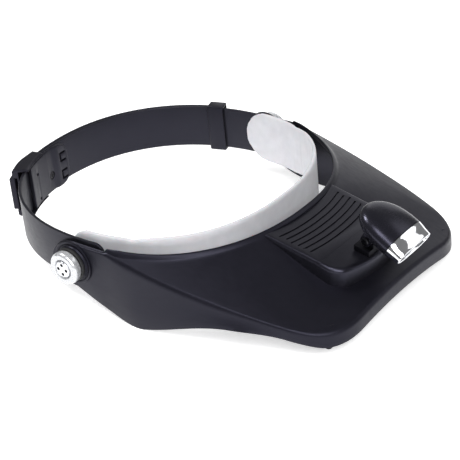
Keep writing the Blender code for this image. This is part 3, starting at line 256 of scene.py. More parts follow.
def smooth(obj, angle):
    """Shade smooth, with edges sharper than the angle left crisp."""
    obj.data.shade_smooth()
    obj.data.set_sharp_from_angle(angle=math.radians(angle))


def round_sharp(solid, width, angle):
    """Round every edge of a bmesh that is sharper than the angle."""
    limit = math.radians(angle)
    sharp = [e for e in solid.edges if len(e.link_faces) == 2 and e.calc_face_angle(0) > limit]
    bmesh.ops.bevel(solid, geom=sharp, offset=width, segments=2, profile=0.5,
                    affect="EDGES", clamp_overlap=True)


def soften(obj, width):
    """Round a lug's sharp edges."""
    solid = bmesh.new()
    solid.from_mesh(obj.data)
    round_sharp(solid, width, 60.0)
    solid.to_mesh(obj.data)
    solid.free()
    return obj


def combine(target, tools, operation):
    """Apply exact Booleans to the target and remove the tools."""
    for tool in tools:
        change = target.modifiers.new("combine", "BOOLEAN")
        change.solver = "EXACT"
        change.operation = operation
        change.object = tool
        bake_modifiers(target)
        bpy.data.objects.remove(tool, do_unlink=True)
    return target


def join(name, parts):
    """Put several meshes into one object."""
    solid = bmesh.new()
    for part in parts:
        solid.from_mesh(part.data)
        bpy.data.objects.remove(part, do_unlink=True)
    mesh = bpy.data.meshes.new(name)
    solid.to_mesh(mesh)
    solid.free()
    return add_object(name, mesh)


def loft(name, rings, closed=False):
    """Skin sections of equal count. Closed joins the last to the first; otherwise both ends get caps."""
    count = len(rings[0])
    verts = [p for ring in rings for p in ring]
    pairs = [(i, i + 1) for i in range(len(rings) - 1)]
    if closed:
        pairs.append((len(rings) - 1, 0))
    faces = []
    for i, n in pairs:
        for j in range(count):
            k = (j + 1) % count
            faces.append((i * count + j, i * count + k, n * count + k, n * count + j))
    if not closed:
        last = (len(rings) - 1) * count
        faces.append(tuple(range(count)))
        faces.append(tuple(range(last, last + count)))
    return mesh_object(name, verts, faces)


def prism(name, outline, low, high):
    """Stand an outline up between two heights, each a function of (x, y)."""
    rings = [[Vector((x, y, low(x, y))) for x, y in outline],
             [Vector((x, y, high(x, y))) for x, y in outline]]
    return loft(name, rings)


def bend(start, corner, end, steps):
    """Points of a soft bend from start to end, pulled towards the corner."""
    points = []
    for i in range(steps + 1):
        t = i / steps
        points.append(start.lerp(corner, t).lerp(corner.lerp(end, t), t))
    return points


def frame_matrix(centre, along, up):
    """Matrix whose local X runs along, local Z runs up, at the centre."""
    x_axis = Vector(along).normalized()
    z_axis = Vector(up).normalized()
    y_axis = z_axis.cross(x_axis).normalized()
    z_axis = x_axis.cross(y_axis)
    turn = Matrix((x_axis, y_axis, z_axis)).transposed().to_4x4()
    return Matrix.Translation(Vector(centre)) @ turn


def along_x(x, y, z, side=1.0):
    """Place a turned piece with its axis along X, its local +Z pointing to the given side."""
    return frame_matrix((x, y, z), (0, 1, 0), (side, 0, 0))


def block(size, matrix, centre=(0, 0, 0)):
    """Make a box of the given size around a centre, then place it."""
    sx, sy, sz = (s / 2 for s in size)
    cx, cy, cz = centre
    outline = [(cx - sx, cy - sy), (cx + sx, cy - sy), (cx + sx, cy + sy), (cx - sx, cy + sy)]
    obj = prism("block", outline, lambda x, y: cz - sz, lambda x, y: cz + sz)
    obj.data.transform(matrix)
    return obj


def turned(name, profile, matrix, steps=96):
    """Turn a profile of (radius, height) about the local Z axis; it closes on itself or the axis."""
    verts = []
    rows = []
    for radius, height in profile:
        if radius < 1e-6:
            rows.append([len(verts)] * steps)
            verts.append((0.0, 0.0, height))
        else:
            start = len(verts)
            for i in range(steps):
                turn = 2 * math.pi * i / steps
                verts.append((radius * math.cos(turn), radius * math.sin(turn), height))
            rows.append([start + i for i in range(steps)])
    pairs = list(zip(rows, rows[1:]))
    if profile[0][0] > 1e-6 and profile[-1][0] > 1e-6:
        pairs.append((rows[-1], rows[0]))
    faces = []
    for below, above in pairs:
        for i in range(steps):
            k = (i + 1) % steps
            corners = [below[i], below[k], above[k], above[i]]
            face = [c for n, c in enumerate(corners) if c not in corners[:n]]
            if len(face) > 2:
                faces.append(face)
    obj = mesh_object(name, verts, faces)
    obj.data.transform(matrix)
    return obj


def rounded_profile(points, radius, steps=4):
    """Round the inner corners of an open (radius, height) profile."""
    rounded = [points[0]]
    for before, here, after in zip(points, points[1:], points[2:]):
        a, b, c = Vector(before), Vector(here), Vector(after)
        reach = min(radius, 0.45 * (a - b).length, 0.45 * (c - b).length)
        start = b + (a - b).normalized() * reach
        end = b + (c - b).normalized() * reach
        rounded += [tuple(p) for p in bend(start, b, end, steps)]
    return rounded + [points[-1]]


# ---- finishing a piece

def place(obj, body, slot, look, *nodes, crisp=32.0):
    """Carry a piece to the model's frame, give it its look and tie it to its body and CAD nodes."""
    obj.data.transform(STANCE)
    if crisp:
        smooth(obj, crisp)
    obj.data.materials.clear()
    obj.data.materials.append(LOOKS[look])
    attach(obj, body)
    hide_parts(*nodes)


def refined(node, look, width):
    """A finer copy of a CAD piece: joined faces, softened edges, smooth shading."""
    source = frame["nodes"][node]
    solid = bmesh.new()
    solid.from_mesh(source.data)
    bmesh.ops.remove_doubles(solid, verts=solid.verts, dist=1e-6)
    bmesh.ops.dissolve_limit(solid, angle_limit=math.radians(0.6), verts=solid.verts, edges=solid.edges)
    if width:
        round_sharp(solid, width * MM, 38.0)
    mesh = bpy.data.meshes.new(node + "_fine")
    solid.to_mesh(mesh)
    solid.free()
    obj = add_object(node + "_fine", mesh)
    smooth(obj, 34.0)
    mesh.materials.append(LOOKS[look])
    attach(obj, source["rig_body"])
    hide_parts(node)
    return obj


# ---- materials

def new_material(name, recipe, *values):
    """A node material: the recipe sets its shader, from its object-space coordinates."""
    made = bpy.data.materials.new(name)
    made.use_nodes = True
    tree = made.node_tree
    coords = tree.nodes.new("ShaderNodeTexCoord").outputs["Object"]
    recipe(tree, tree.nodes["Principled BSDF"], coords, *values)
    return made


def noise(tree, coords, size_mm, detail, stretch=(1, 1, 1)):
    """Noise whose features are about the given size in millimetres."""
    mapping = tree.nodes.new("ShaderNodeMapping")
    mapping.inputs["Scale"].default_value = stretch
    tree.links.new(coords, mapping.inputs["Vector"])
    made = tree.nodes.new("ShaderNodeTexNoise")
    made.inputs["Scale"].default_value = 1.0 / (size_mm * MM)
    made.inputs["Detail"].default_value = detail
    tree.links.new(mapping.outputs["Vector"], made.inputs["Vector"])
    return made.outputs["Fac"]


def spread(tree, value, low, high, start=0.3, end=0.7):
    """Map a noise value to a range."""
    made = tree.nodes.new("ShaderNodeMapRange")
    made.inputs["From Min"].default_value = start
    made.inputs["From Max"].default_value = end
    made.inputs["To Min"].default_value = low
    made.inputs["To Max"].default_value = high
    tree.links.new(value, made.inputs["Value"])
    return made.outputs["Result"]


def two_tone(tree, shader, value, first, second):
    """Colour the surface between two colours by a value from 0 to 1."""
    made = tree.nodes.new("ShaderNodeMix")
    made.data_type = "RGBA"
    made.inputs["A"].default_value = (*first, 1.0)
    made.inputs["B"].default_value = (*second, 1.0)
    tree.links.new(value, made.inputs["Factor"])
    tree.links.new(made.outputs["Result"], shader.inputs["Base Color"])


def uneven_gloss(tree, shader, value, low, high, start=0.3, end=0.7):
    """Vary the roughness between two limits by a noise value."""
    tree.links.new(spread(tree, value, low, high, start, end), shader.inputs["Roughness"])


def bump(tree, shader, value, depth_mm, strength, under=None):
    """Raise the surface by a value, on top of an earlier bump."""
    made = tree.nodes.new("ShaderNodeBump")
    made.inputs["Strength"].default_value = strength
    made.inputs["Distance"].default_value = depth_mm * MM
    tree.links.new(value, made.inputs["Height"])
    if under:
        tree.links.new(under.outputs["Normal"], made.inputs["Normal"])
    tree.links.new(made.outputs["Normal"], shader.inputs["Normal"])
    return made


def moulded(tree, shader, coords, colour, worn, roughness, gloss, grain_mm=0.35, grain_depth=0.012,
            uneven=0.04):
    """Moulded plastic: fine spark-eroded grain, faint sink waves and slightly uneven gloss."""
    patches = spread(tree, noise(tree, coords, 14.0, 4.0), 0.0, 1.0, 0.35, 0.75)
    two_tone(tree, shader, patches, colour, worn)
    streaks = noise(tree, coords, 1.6, 6.0, (1.0, 0.25, 1.0))
    uneven_gloss(tree, shader, streaks, roughness - uneven, roughness + uneven)
    shader.inputs["Specular IOR Level"].default_value = gloss
    shader.inputs["Specular Tint"].default_value = (0.74, 0.73, 1.0, 1.0)
    waves = bump(tree, shader, noise(tree, coords, 9.0, 1.0), 0.006, 0.5)
    bump(tree, shader, noise(tree, coords, grain_mm, 2.0), grain_depth, 0.9, waves)


def foam_skin(tree, shader, coords):
    """The pad's pale skin: soft mottling, fine pores and a slight sheen."""
    mottle = spread(tree, noise(tree, coords, 6.0, 5.0), 0.0, 1.0, 0.3, 0.7)
    two_tone(tree, shader, mottle, (0.54, 0.54, 0.57), (0.60, 0.60, 0.63))
    uneven_gloss(tree, shader, noise(tree, coords, 1.2, 4.0), 0.50, 0.66)
    shader.inputs["Sheen Weight"].default_value = 0.15
    shader.inputs["Sheen Roughness"].default_value = 0.5
    shader.inputs["Subsurface Weight"].default_value = 0.12
    shader.inputs["Subsurface Scale"].default_value = 0.002
    folds = bump(tree, shader, noise(tree, coords, 8.0, 1.0), 0.05, 0.5)
    bump(tree, shader, noise(tree, coords, 0.3, 2.0), 0.015, 0.8, folds)


def silver_paint(tree, shader, coords):
    """Satin silver-white paint with tiny flakes."""
    flakes = spread(tree, noise(tree, coords, 0.15, 1.0), 0.0, 1.0, 0.35, 0.65)
    two_tone(tree, shader, flakes, (0.52, 0.53, 0.55), (0.68, 0.69, 0.71))
    uneven_gloss(tree, shader, noise(tree, coords, 1.5, 4.0), 0.20, 0.34)
    shader.inputs["Metallic"].default_value = 0.55
    shader.inputs["Coat Weight"].default_value = 0.4
    shader.inputs["Coat Roughness"].default_value = 0.12
    bump(tree, shader, noise(tree, coords, 0.5, 3.0), 0.006, 0.8)


def polished(tree, shader, coords, colour, rough_low, rough_high, relief=0.003):
    """Plated or bare metal with faint polishing streaks."""
    tint = spread(tree, noise(tree, coords, 5.0, 3.0), 0.0, 1.0)
    darker = tuple(0.9 * c for c in colour)
    two_tone(tree, shader, tint, darker, colour)
    streaks = noise(tree, coords, 0.8, 5.0, (1.0, 6.0, 1.0))
    uneven_gloss(tree, shader, streaks, rough_low, rough_high)
    shader.inputs["Metallic"].default_value = 1.0
    bump(tree, shader, streaks, relief, 0.5)


def rubber(tree, shader, coords):
    """Matt black rubber with a dusty bloom."""
    bloom = spread(tree, noise(tree, coords, 3.0, 5.0), 0.0, 1.0, 0.4, 0.8)
    two_tone(tree, shader, bloom, (0.010, 0.010, 0.011), (0.022, 0.022, 0.024))
    uneven_gloss(tree, shader, noise(tree, coords, 0.6, 3.0), 0.6, 0.8)
    bump(tree, shader, noise(tree, coords, 0.25, 2.0), 0.02, 0.8)


def clear(tree, shader, coords, tint):
    """Clear acrylic with hairline scuffs."""
    shader.inputs["Base Color"].default_value = (*tint, 1.0)
    shader.inputs["Transmission Weight"].default_value = 1.0
    shader.inputs["IOR"].default_value = 1.49
    scuffs = noise(tree, coords, 0.7, 6.0, (1.0, 8.0, 1.0))
    uneven_gloss(tree, shader, scuffs, 0.01, 0.06, 0.5, 0.8)
    bump(tree, shader, scuffs, 0.002, 0.3)


def led_epoxy(tree, shader, coords):
    """Pale LED epoxy with a warm die glowing through."""
    cloud = spread(tree, noise(tree, coords, 1.2, 2.0), 0.0, 1.0)
    two_tone(tree, shader, cloud, (0.95, 0.93, 0.72), (0.97, 0.97, 0.92))
    shader.inputs["Roughness"].default_value = 0.12
    shader.inputs["Transmission Weight"].default_value = 0.35
    bump(tree, shader, cloud, 0.004, 0.4)


def solder_mask(tree, shader, coords):
    """Green board lacquer with copper tracks showing faintly."""
    tracks = spread(tree, noise(tree, coords, 1.4, 0.0, (3.0, 1.0, 1.0)), 0.0, 1.0, 0.48, 0.52)
    two_tone(tree, shader, tracks, (0.03, 0.16, 0.07), (0.06, 0.26, 0.11))
    shader.inputs["Roughness"].default_value = 0.3
    bump(tree, shader, tracks, 0.03, 0.6)


def cell_sleeve(tree, shader, coords):
    """Printed metallic sleeve of a battery, without any lettering."""
    brushed = spread(tree, noise(tree, coords, 0.5, 4.0, (0.1, 1.0, 1.0)), 0.0, 1.0)
    two_tone(tree, shader, brushed, (0.26, 0.28, 0.31), (0.40, 0.42, 0.46))
    uneven_gloss(tree, shader, brushed, 0.25, 0.38, 0.0, 1.0)
    shader.inputs["Metallic"].default_value = 0.8
    bump(tree, shader, brushed, 0.004, 0.4)


# Each look's recipe and its values; colours are linear
RECIPES = {
    "shell": (moulded, (0.0048, 0.0047, 0.0072), (0.0056, 0.0054, 0.0082), 0.40, 0.28),
    "box": (moulded, (0.0042, 0.0041, 0.0056), (0.0050, 0.0049, 0.0066), 0.32, 0.48, 0.30, 0.008),
    "lamp": (moulded, (0.0060, 0.0059, 0.0080), (0.0068, 0.0067, 0.0090), 0.26, 0.45, 0.50, 0.004, 0.02),
    "strap": (moulded, (0.0085, 0.0085, 0.0110), (0.0098, 0.0098, 0.0126), 0.40, 0.30, 0.30, 0.010),
    "small": (moulded, (0.0070, 0.0069, 0.0092), (0.0095, 0.0093, 0.0122), 0.38, 0.28, 0.25, 0.010),
    # painted shade: a darker, duller copy of the black plastic for the lamp bracket, which sits in shade
    # under the lamp
    "hinge": (moulded, (0.0025, 0.0025, 0.0032), (0.0032, 0.0032, 0.0040), 0.42, 0.12),
    "rubber": (rubber,),
    "foam": (foam_skin,),
    "silver": (silver_paint,),
    "chrome": (polished, (0.86, 0.87, 0.90), 0.05, 0.10, 0.0008),
    "mirror": (polished, (0.50, 0.51, 0.54), 0.08, 0.16),
    "steel": (polished, (0.58, 0.58, 0.60), 0.20, 0.36),
    "bright": (polished, (0.80, 0.81, 0.84), 0.22, 0.34),
    # dark oxidised steel; also used as painted shade in the screw heads' drive pits
    "oxide_and_pit_shade": (polished, (0.030, 0.030, 0.034), 0.22, 0.38),
    "clear": (clear, (0.93, 0.96, 0.98)),
    "led": (led_epoxy,),
    "board": (solder_mask,),
    "cell": (cell_sleeve,),
}
LOOKS = {name: new_material(name, *recipe) for name, recipe in RECIPES.items()}


# ---- headband

def signed_power(value, power):
    """Raise a value to a power and keep its sign."""
    return math.copysign(abs(value) ** power, value)


def band_raw(angle):
    """Point of the headband oval for a parameter angle in radians."""
    c, s = math.cos(angle), math.sin(angle)
    reach = BAND_REAR if s > 0 else BAND_FRONT
    power = 2.0 / (BAND_REAR_POWER if s > 0 else BAND_FRONT_POWER)
    return Vector((BAND_HALF_WIDTH * signed_power(c, power), reach * signed_power(s, power), 0.0))


def band_samples():
    """Dense polar-sorted samples of the oval with their outward normals."""
    points = [band_raw(math.radians(-180 + 360 * i / BAND_STEPS)) for i in range(BAND_STEPS)]
    normals = []
    for i, _ in enumerate(points):
        run = points[(i + 1) % BAND_STEPS] - points[i - 1]
        normals.append(Vector((run.y, -run.x, 0.0)).normalized())
    return points, normals


BAND_POINTS, BAND_NORMALS = band_samples()
BAND_POLAR = np.unwrap([math.atan2(p.y, p.x) for p in BAND_POINTS])


def band_at(angle, offset=0.0):
    """Point on the oval at a polar angle in degrees, moved outward by an offset, and its normal."""
    target = math.radians((angle + 180.0) % 360.0 - 180.0)
    if target < BAND_POLAR[0]:
        target += 2 * math.pi
    where = float(np.interp(target, BAND_POLAR, np.arange(BAND_STEPS)))
    low = int(where) % BAND_STEPS
    high = (low + 1) % BAND_STEPS
    share = where - int(where)
    point = BAND_POINTS[low].lerp(BAND_POINTS[high], share)
    normal = BAND_NORMALS[low].lerp(BAND_NORMALS[high], share).normalized()
    return point + normal * offset, normal


def ease(share):
    """Smooth step between 0 and 1."""
    share = min(max(share, 0.0), 1.0)
    return share * share * (3 - 2 * share)


def travelled(points):
    """Length of a polyline up to each of its points."""
    steps = [(b - a).length for a, b in zip(points, points[1:])]
    return np.concatenate([[0.0], np.cumsum(steps)])


def end_round(distance, radius):
    """How far a rounded end's corner draws in at a distance from the end."""
    if distance >= radius:
        return 0.0
    return radius - math.sqrt(max(radius ** 2 - (radius - distance) ** 2, 0.0))


def band_strip(name, start, end, count, inner, outer, low, high, edge, steps=3, ends=14):
    """Sweep a rounded rectangle round the band; the limits are functions of arc length."""
    angles = list(np.linspace(start, end, count))
    pace = (end - start) / (count - 1)
    near = [start + pace * (i / ends) ** 2 for i in range(1, ends)]
    far = [end - pace * (i / ends) ** 2 for i in range(ends - 1, 0, -1)]
    angles = angles[:1] + near + angles[1:-1] + far + angles[-1:]
    lengths = travelled([band_at(a)[0] for a in angles])
    rings = []
    for angle, run in zip(angles, lengths):
        away = lengths[-1] - run
        r0, r1 = inner(angle), outer(angle)
        z0, z1 = low(run, away), high(run, away)
        cut = min(edge, 0.3 * (z1 - z0))
        corners = [(r0, z0, 0, 1, 1, 0), (r1, z0, -1, 0, 0, 1),
                   (r1, z1, 0, -1, -1, 0), (r0, z1, 1, 0, 0, -1)]
        section = []
        for r, z, ar, az, br, bz in corners:
            here = Vector((r, z))
            section += bend(here + Vector((ar, az)) * cut, here, here + Vector((br, bz)) * cut, steps)
        ring = []
        for reach, z in section:
            point, _ = band_at(angle, reach)
            ring.append(Vector((point.x, point.y, z)))
        rings.append(ring)
    return loft(name, rings)


def long_strap_offset(angle):
    """The long strap lies on the band, then steps outside the short strap."""
    step_start, step_end = SHORT_STRAP_END_ANGLE + 7.0, SHORT_STRAP_END_ANGLE + 1.0
    return (STRAP_THICKNESS + GAP) * ease((step_start - angle) / (step_start - step_end))


def make_strap(name, start, end, count, offset):
    """One flat strap with rounded ends."""
    half = STRAP_THICKNESS / 2
    obj = band_strip(name, start, end, count, lambda a: offset(a) - half, lambda a: offset(a) + half,
                     lambda run, away: end_round(min(run, away), 5.0),
                     lambda run, away: STRAP_HEIGHT - end_round(min(run, away), 5.0), 0.55, 3)
    place(obj, "headband", "black_strap", "strap", name.replace("_fine", ""))


def pad_solid():
    """The pad's shape before it swells: a band across the forehead with a lobe at each end."""
    radius = (LOBE_TOP - LOBE_BOTTOM) / 2

    def lobe(run, away):
        """Share of the lobe's height: 1 at the ends, 0 across the forehead."""
        return 1.0 - ease((min(run, away) - LOBE_LENGTH + LOBE_FADE) / LOBE_FADE)

    def dip(run, away):
        """Small dip of the upper edge between a lobe and the forehead."""
        off = abs(min(run, away) - NECK_RUN) / 9
        return NECK_DIP * (1 - ease(off))

    def low(run, away):
        """Lower edge."""
        level = PAD_BOTTOM + (LOBE_BOTTOM - PAD_BOTTOM) * lobe(run, away)
        return level + 0.97 * end_round(min(run, away), radius)

    def high(run, away):
        """Upper edge."""
        level = PAD_TOP + (LOBE_TOP - PAD_TOP) * lobe(run, away)
        return level - 0.97 * end_round(min(run, away), radius) - dip(run, away)

    return band_strip("forehead_cushion", LOBE_END_ANGLE, -180 - LOBE_END_ANGLE, 150,
                      lambda a: PAD_OUTER - PAD_THICKNESS + 0.2, lambda a: PAD_OUTER - 0.2,
                      low, high, 0.9, 4, 26)


def puff(obj, voxel_mm, pressure, cap_mm):
    """Swell a closed solid by a short cloth simulation, each point moving no further than the cap."""
    remesh = obj.modifiers.new("remesh", "REMESH")
    remesh.mode = "VOXEL"
    remesh.voxel_size = voxel_mm * MM
    bake_modifiers(obj)
    rest = np.zeros(len(obj.data.vertices) * 3)
    obj.data.vertices.foreach_get("co", rest)
    cloth = obj.modifiers.new("cloth", "CLOTH")
    cloth.settings.use_pressure = True
    cloth.settings.uniform_pressure_force = pressure
    cloth.settings.effector_weights.gravity = 0.0
    cloth.settings.tension_stiffness = 15
    cloth.settings.bending_stiffness = 0.5
    cloth.settings.quality = 6
    cloth.point_cache.frame_start = 1
    cloth.point_cache.frame_end = CLOTH_FRAMES
    for step in range(1, CLOTH_FRAMES + 1):
        bpy.context.scene.frame_set(step)
    bake_modifiers(obj)
    bpy.context.scene.frame_set(1)
    moved = np.zeros(len(obj.data.vertices) * 3)
    obj.data.vertices.foreach_get("co", moved)
    step = (moved - rest).reshape(-1, 3)
    length = np.linalg.norm(step, axis=1, keepdims=True)
    limit = cap_mm * MM
    step *= np.minimum(1.0, limit / np.maximum(length, 1e-9))
    obj.data.vertices.foreach_set("co", (rest.reshape(-1, 3) + step).ravel())
    obj.data.update()


def make_pad():
    """The grey pad, swollen by cloth and smoothed."""
    pad = pad_solid()
    pad.data.transform(STANCE)
    puff(pad, 0.9, 4.0, 0.3)
    relax = pad.modifiers.new("relax", "SMOOTH")
    relax.factor = 0.5
    relax.iterations = 3
    finer = pad.modifiers.new("finer", "SUBSURF")
    finer.levels = 1
    finer.render_levels = 1
    bake_modifiers(pad)
    pad.data.transform(STANCE.inverted())
    place(pad, "headband", "grey_foam", "foam", "forehead_pad", crisp=0)
    pad.data.shade_smooth()


def make_button_spring():
    """The coil behind the release button, as a refined copy with a mesh of its own."""
    spring = refined("adjuster_spring", "steel", 0)
    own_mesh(spring)


def make_headband():
    """Straps, pad, keeper and adjuster."""
    make_strap("strap_right_fine", 180 - STRAP_FRONT_ANGLE, LONG_STRAP_END_ANGLE, 170, long_strap_offset)
    make_strap("strap_left_fine", STRAP_FRONT_ANGLE, SHORT_STRAP_END_ANGLE, 110, lambda a: 0.0)
    make_pad()
    refined("strap_keeper", "small", 0.2)
    refined("adjuster_base", "small", 0.15)
    refined("adjuster_cover", "small", 0.35)
    refined("adjuster_button", "small", 0.2)
    make_button_spring()
    refined("strap_end_screw", "oxide_and_pit_shade", 0.08)


# ---- pivots

def knob_profile(start, end):
    """Outline of a knob: rounded rim and a dished face."""
    floor = end - KNOB_RECESS_DEPTH
    points = [(KNOB_BORE, start), (KNOB_RADIUS - 0.4, start), (KNOB_RADIUS, start + 0.8),
              (KNOB_RADIUS, end - 1.3), (KNOB_RADIUS - 0.9, end), (KNOB_RECESS_RADIUS + 0.6, end),
              (KNOB_RECESS_RADIUS, floor), (KNOB_BORE, floor)]
    return rounded_profile(points, 0.9, 5)


def paint_pit_shade(screw, spot, depth):
    """Paint the drive pits of a screw head and their walls dark: painted shade in the recesses."""
    screw.data.materials.append(LOOKS["oxide_and_pit_shade"])
    local = spot.inverted()
    for face in screw.data.polygons:
        centre = local @ face.center
        off = abs(math.hypot(centre.x, centre.y) - PIT_CIRCLE)
        inside_pit = off < PIT_RADIUS and centre.z < depth
        wall = abs((local.to_3x3() @ face.normal).normalized().z) < 0.5 and off < PIT_RADIUS + 0.05
        if centre.z > depth - 0.8 and (inside_pit or wall):
            face.material_index = 1


def make_pivots():
    """Nuts, washers, collars, knobs and their screws with four drive pits."""
    boss = EAR_X + BOSS_HEIGHT
    for side, word in ((-1, "right"), (1, "left")):
        spot = along_x(0, PIVOT_Y, PIVOT_Z, side)
        body = "knob_" + word
        refined("pivot_nut_" + word, "steel", 0.1)
        refined("pivot_washer_" + word, "rubber", 0.1)
        start = boss + GAP
        outline = rounded_profile([(2.1, start), (COLLAR_RADIUS, start),
                                   (COLLAR_RADIUS, start + COLLAR_LENGTH),
                                   (2.1, start + COLLAR_LENGTH)], 0.5)
        place(turned("collar_" + word, outline, spot), body, "black_rubber", "rubber",
              "pivot_collar_" + word)
        start += COLLAR_LENGTH + GAP
        end = start + KNOB_LENGTH
        place(turned("knob_" + word, knob_profile(start, end), spot), body, "silver_plastic",
              "silver", "pivot_knob_" + word)
        seat = end - KNOB_RECESS_DEPTH + GAP
        inside = BAND_HALF_WIDTH - STRAP_THICKNESS / 2
        head = SCREW_HEAD_RADIUS
        profile = [(0, inside - 0.5), (1.3, inside - 0.5), (1.3, seat), (head - 0.1, seat),
                   (head, seat + 0.5), (head - 0.15, end - 0.1), (head - 0.75, end + 0.1),
                   (0, end + 0.15)]
        screw = turned("screw_" + word, rounded_profile(profile, 0.3), spot, 64)
        pits = []
        for quarter in range(4):
            around = math.radians(90.0 * quarter)
            centre = (PIT_CIRCLE * math.cos(around), PIT_CIRCLE * math.sin(around), 0)
            outline = [(0, seat + 0.2), (PIT_RADIUS, seat + 0.2), (PIT_RADIUS, end + 2), (0, end + 2)]
            pits.append(turned("pit", outline, spot @ Matrix.Translation(centre), 24))
        combine(screw, pits, "DIFFERENCE")
        place(screw, body, "steel", "bright", "pivot_screw_" + word)
        # painted shade: the drive pits get the dark steel look
        paint_pit_shade(screw, STANCE @ spot, (seat + end) / 2)


# ---- visor

def arch(y):
    """Sideways curvature of the visor's top at a distance from the head."""
    share = min(max(y / VISOR_FRONT_Y, 0.0), 1.1)
    return ARCH_REAR + (ARCH_FRONT - ARCH_REAR) * share


def top_z(x, y):
    """Height of the visor's top surface, with a soft hollow ahead of the headband."""
    rim_y = RIM_CENTRE_Y - RIM_DEPTH
    along = min(max((rim_y - y) / (rim_y - VISOR_FRONT_Y), 0.0), 1.0)
    across = max(1.0 - (x / HOLLOW_HALF_WIDTH) ** 2, 0.0)
    dip = HOLLOW * math.sin(math.pi * along ** 1.2) * across
    return CROWN_Z + SLOPE * y - arch(y) * x * x - dip


def side_point(share):
    """Outline of the visor's side from the ear to the front corner."""
    x = SIDE_REAR_HALF + (SIDE_FRONT_HALF - SIDE_REAR_HALF) * share
    x += SIDE_BOW * 4 * share * (1 - share)
    return Vector((x, SIDE_START_Y + (VISOR_FRONT_Y - SIDE_START_Y) * share, 0.0))


def outline_half():
    """Stations of the outline for x > 0: ear, side, corner, then the front to the middle."""
    ear = []
    for i in range(25):
        angle = math.radians(88.0 * (1 - i / 24))
        ear.append(Vector((EAR_X, PIVOT_Y + EAR_RADIUS * math.sin(angle), 0.0)))
    ear += [Vector((EAR_X, PIVOT_Y + (SIDE_START_Y - PIVOT_Y) * i / 12, 0.0)) for i in range(1, 12)]
    length = (side_point(1) - side_point(0)).length
    last = 1 - CORNER_CUT / length
    side = [side_point(last * i / 48) for i in range(49)]
    corner = side_point(1)
    turn_end = corner + Vector((-CORNER_CUT, 0, 0))
    curve = bend(side[-1], corner, turn_end, 24)[1:]
    front = [turn_end.lerp(Vector((0, corner.y, 0)), i / 18) for i in range(1, 19)]
    return ear, side, curve, front


def sample(points, share):
    """Point at a share of a polyline's length."""
    lengths = travelled(points)
    target = share * lengths[-1]
    i = min(int(np.searchsorted(lengths, target, side="right")) - 1, len(points) - 2)
    part = (target - lengths[i]) / (lengths[i + 1] - lengths[i])
    return points[i].lerp(points[i + 1], min(part, 1.0))


def rim_arc(offset=0.0):
    """The rim's oval from the ear to the middle, grown forward by an offset."""
    points = []
    for degrees in range(91):
        angle = math.radians(degrees)
        x = (RIM_HALF + offset) * math.cos(angle) ** (2 / RIM_POWER)
        y = RIM_CENTRE_Y - (RIM_DEPTH + offset) * math.sin(angle) ** (2 / RIM_POWER)
        if y <= SIDE_START_Y:
            points.append(Vector((min(x, EAR_X - VISOR_WALL - 0.5), y, 0.0)))
    points[-1].x = 0.0
    return points


def wall_bottom(point, top):
    """Height of the side wall's lower edge."""
    y = point.y
    if y >= PIVOT_Y:
        return PIVOT_Z - math.sqrt(max(EAR_RADIUS ** 2 - (y - PIVOT_Y) ** 2, 0.0))
    ear_low = PIVOT_Z - EAR_RADIUS
    if y >= FOOT_Y:
        share = (PIVOT_Y - y) / (PIVOT_Y - FOOT_Y)
        return ear_low + (FOOT_Z - ear_low) * math.sin(share * math.pi / 2)
    if y >= WALL_ARCH_Y:
        share = (FOOT_Y - y) / (FOOT_Y - WALL_ARCH_Y)
        blend = 0.5 * (ease(share) + math.sin(share * math.pi / 2))
        return FOOT_Z + (WALL_ARCH_Z - FOOT_Z) * blend
    corner_y = VISOR_FRONT_Y + 0.35 * CORNER_CUT
    share = min((WALL_ARCH_Y - y) / (WALL_ARCH_Y - corner_y), 1.0)
    return WALL_ARCH_Z + (top - LIP_HEIGHT - WALL_ARCH_Z) * share ** 1.3


def wall_top(point):
    """Height of the crease between the top and the wall."""
    if point.y >= PIVOT_Y:
        share = (point.y - PIVOT_Y) / EAR_RADIUS
        return PIVOT_Z + EAR_TOP * math.sqrt(max(1 - share ** 2, 0.0))
    return min(top_z(point.x, point.y), PIVOT_Z + EAR_TOP)


def flare(point):
    """How far the wall's lower edge stands out past its upper edge."""
    grown = ease((SIDE_START_Y - point.y) / (SIDE_START_Y - FOOT_Y))
    faded = ease((point.y - VISOR_FRONT_Y - CORNER_CUT) / (WALL_ARCH_Y - VISOR_FRONT_Y - CORNER_CUT))
    return FLARE * grown * faded


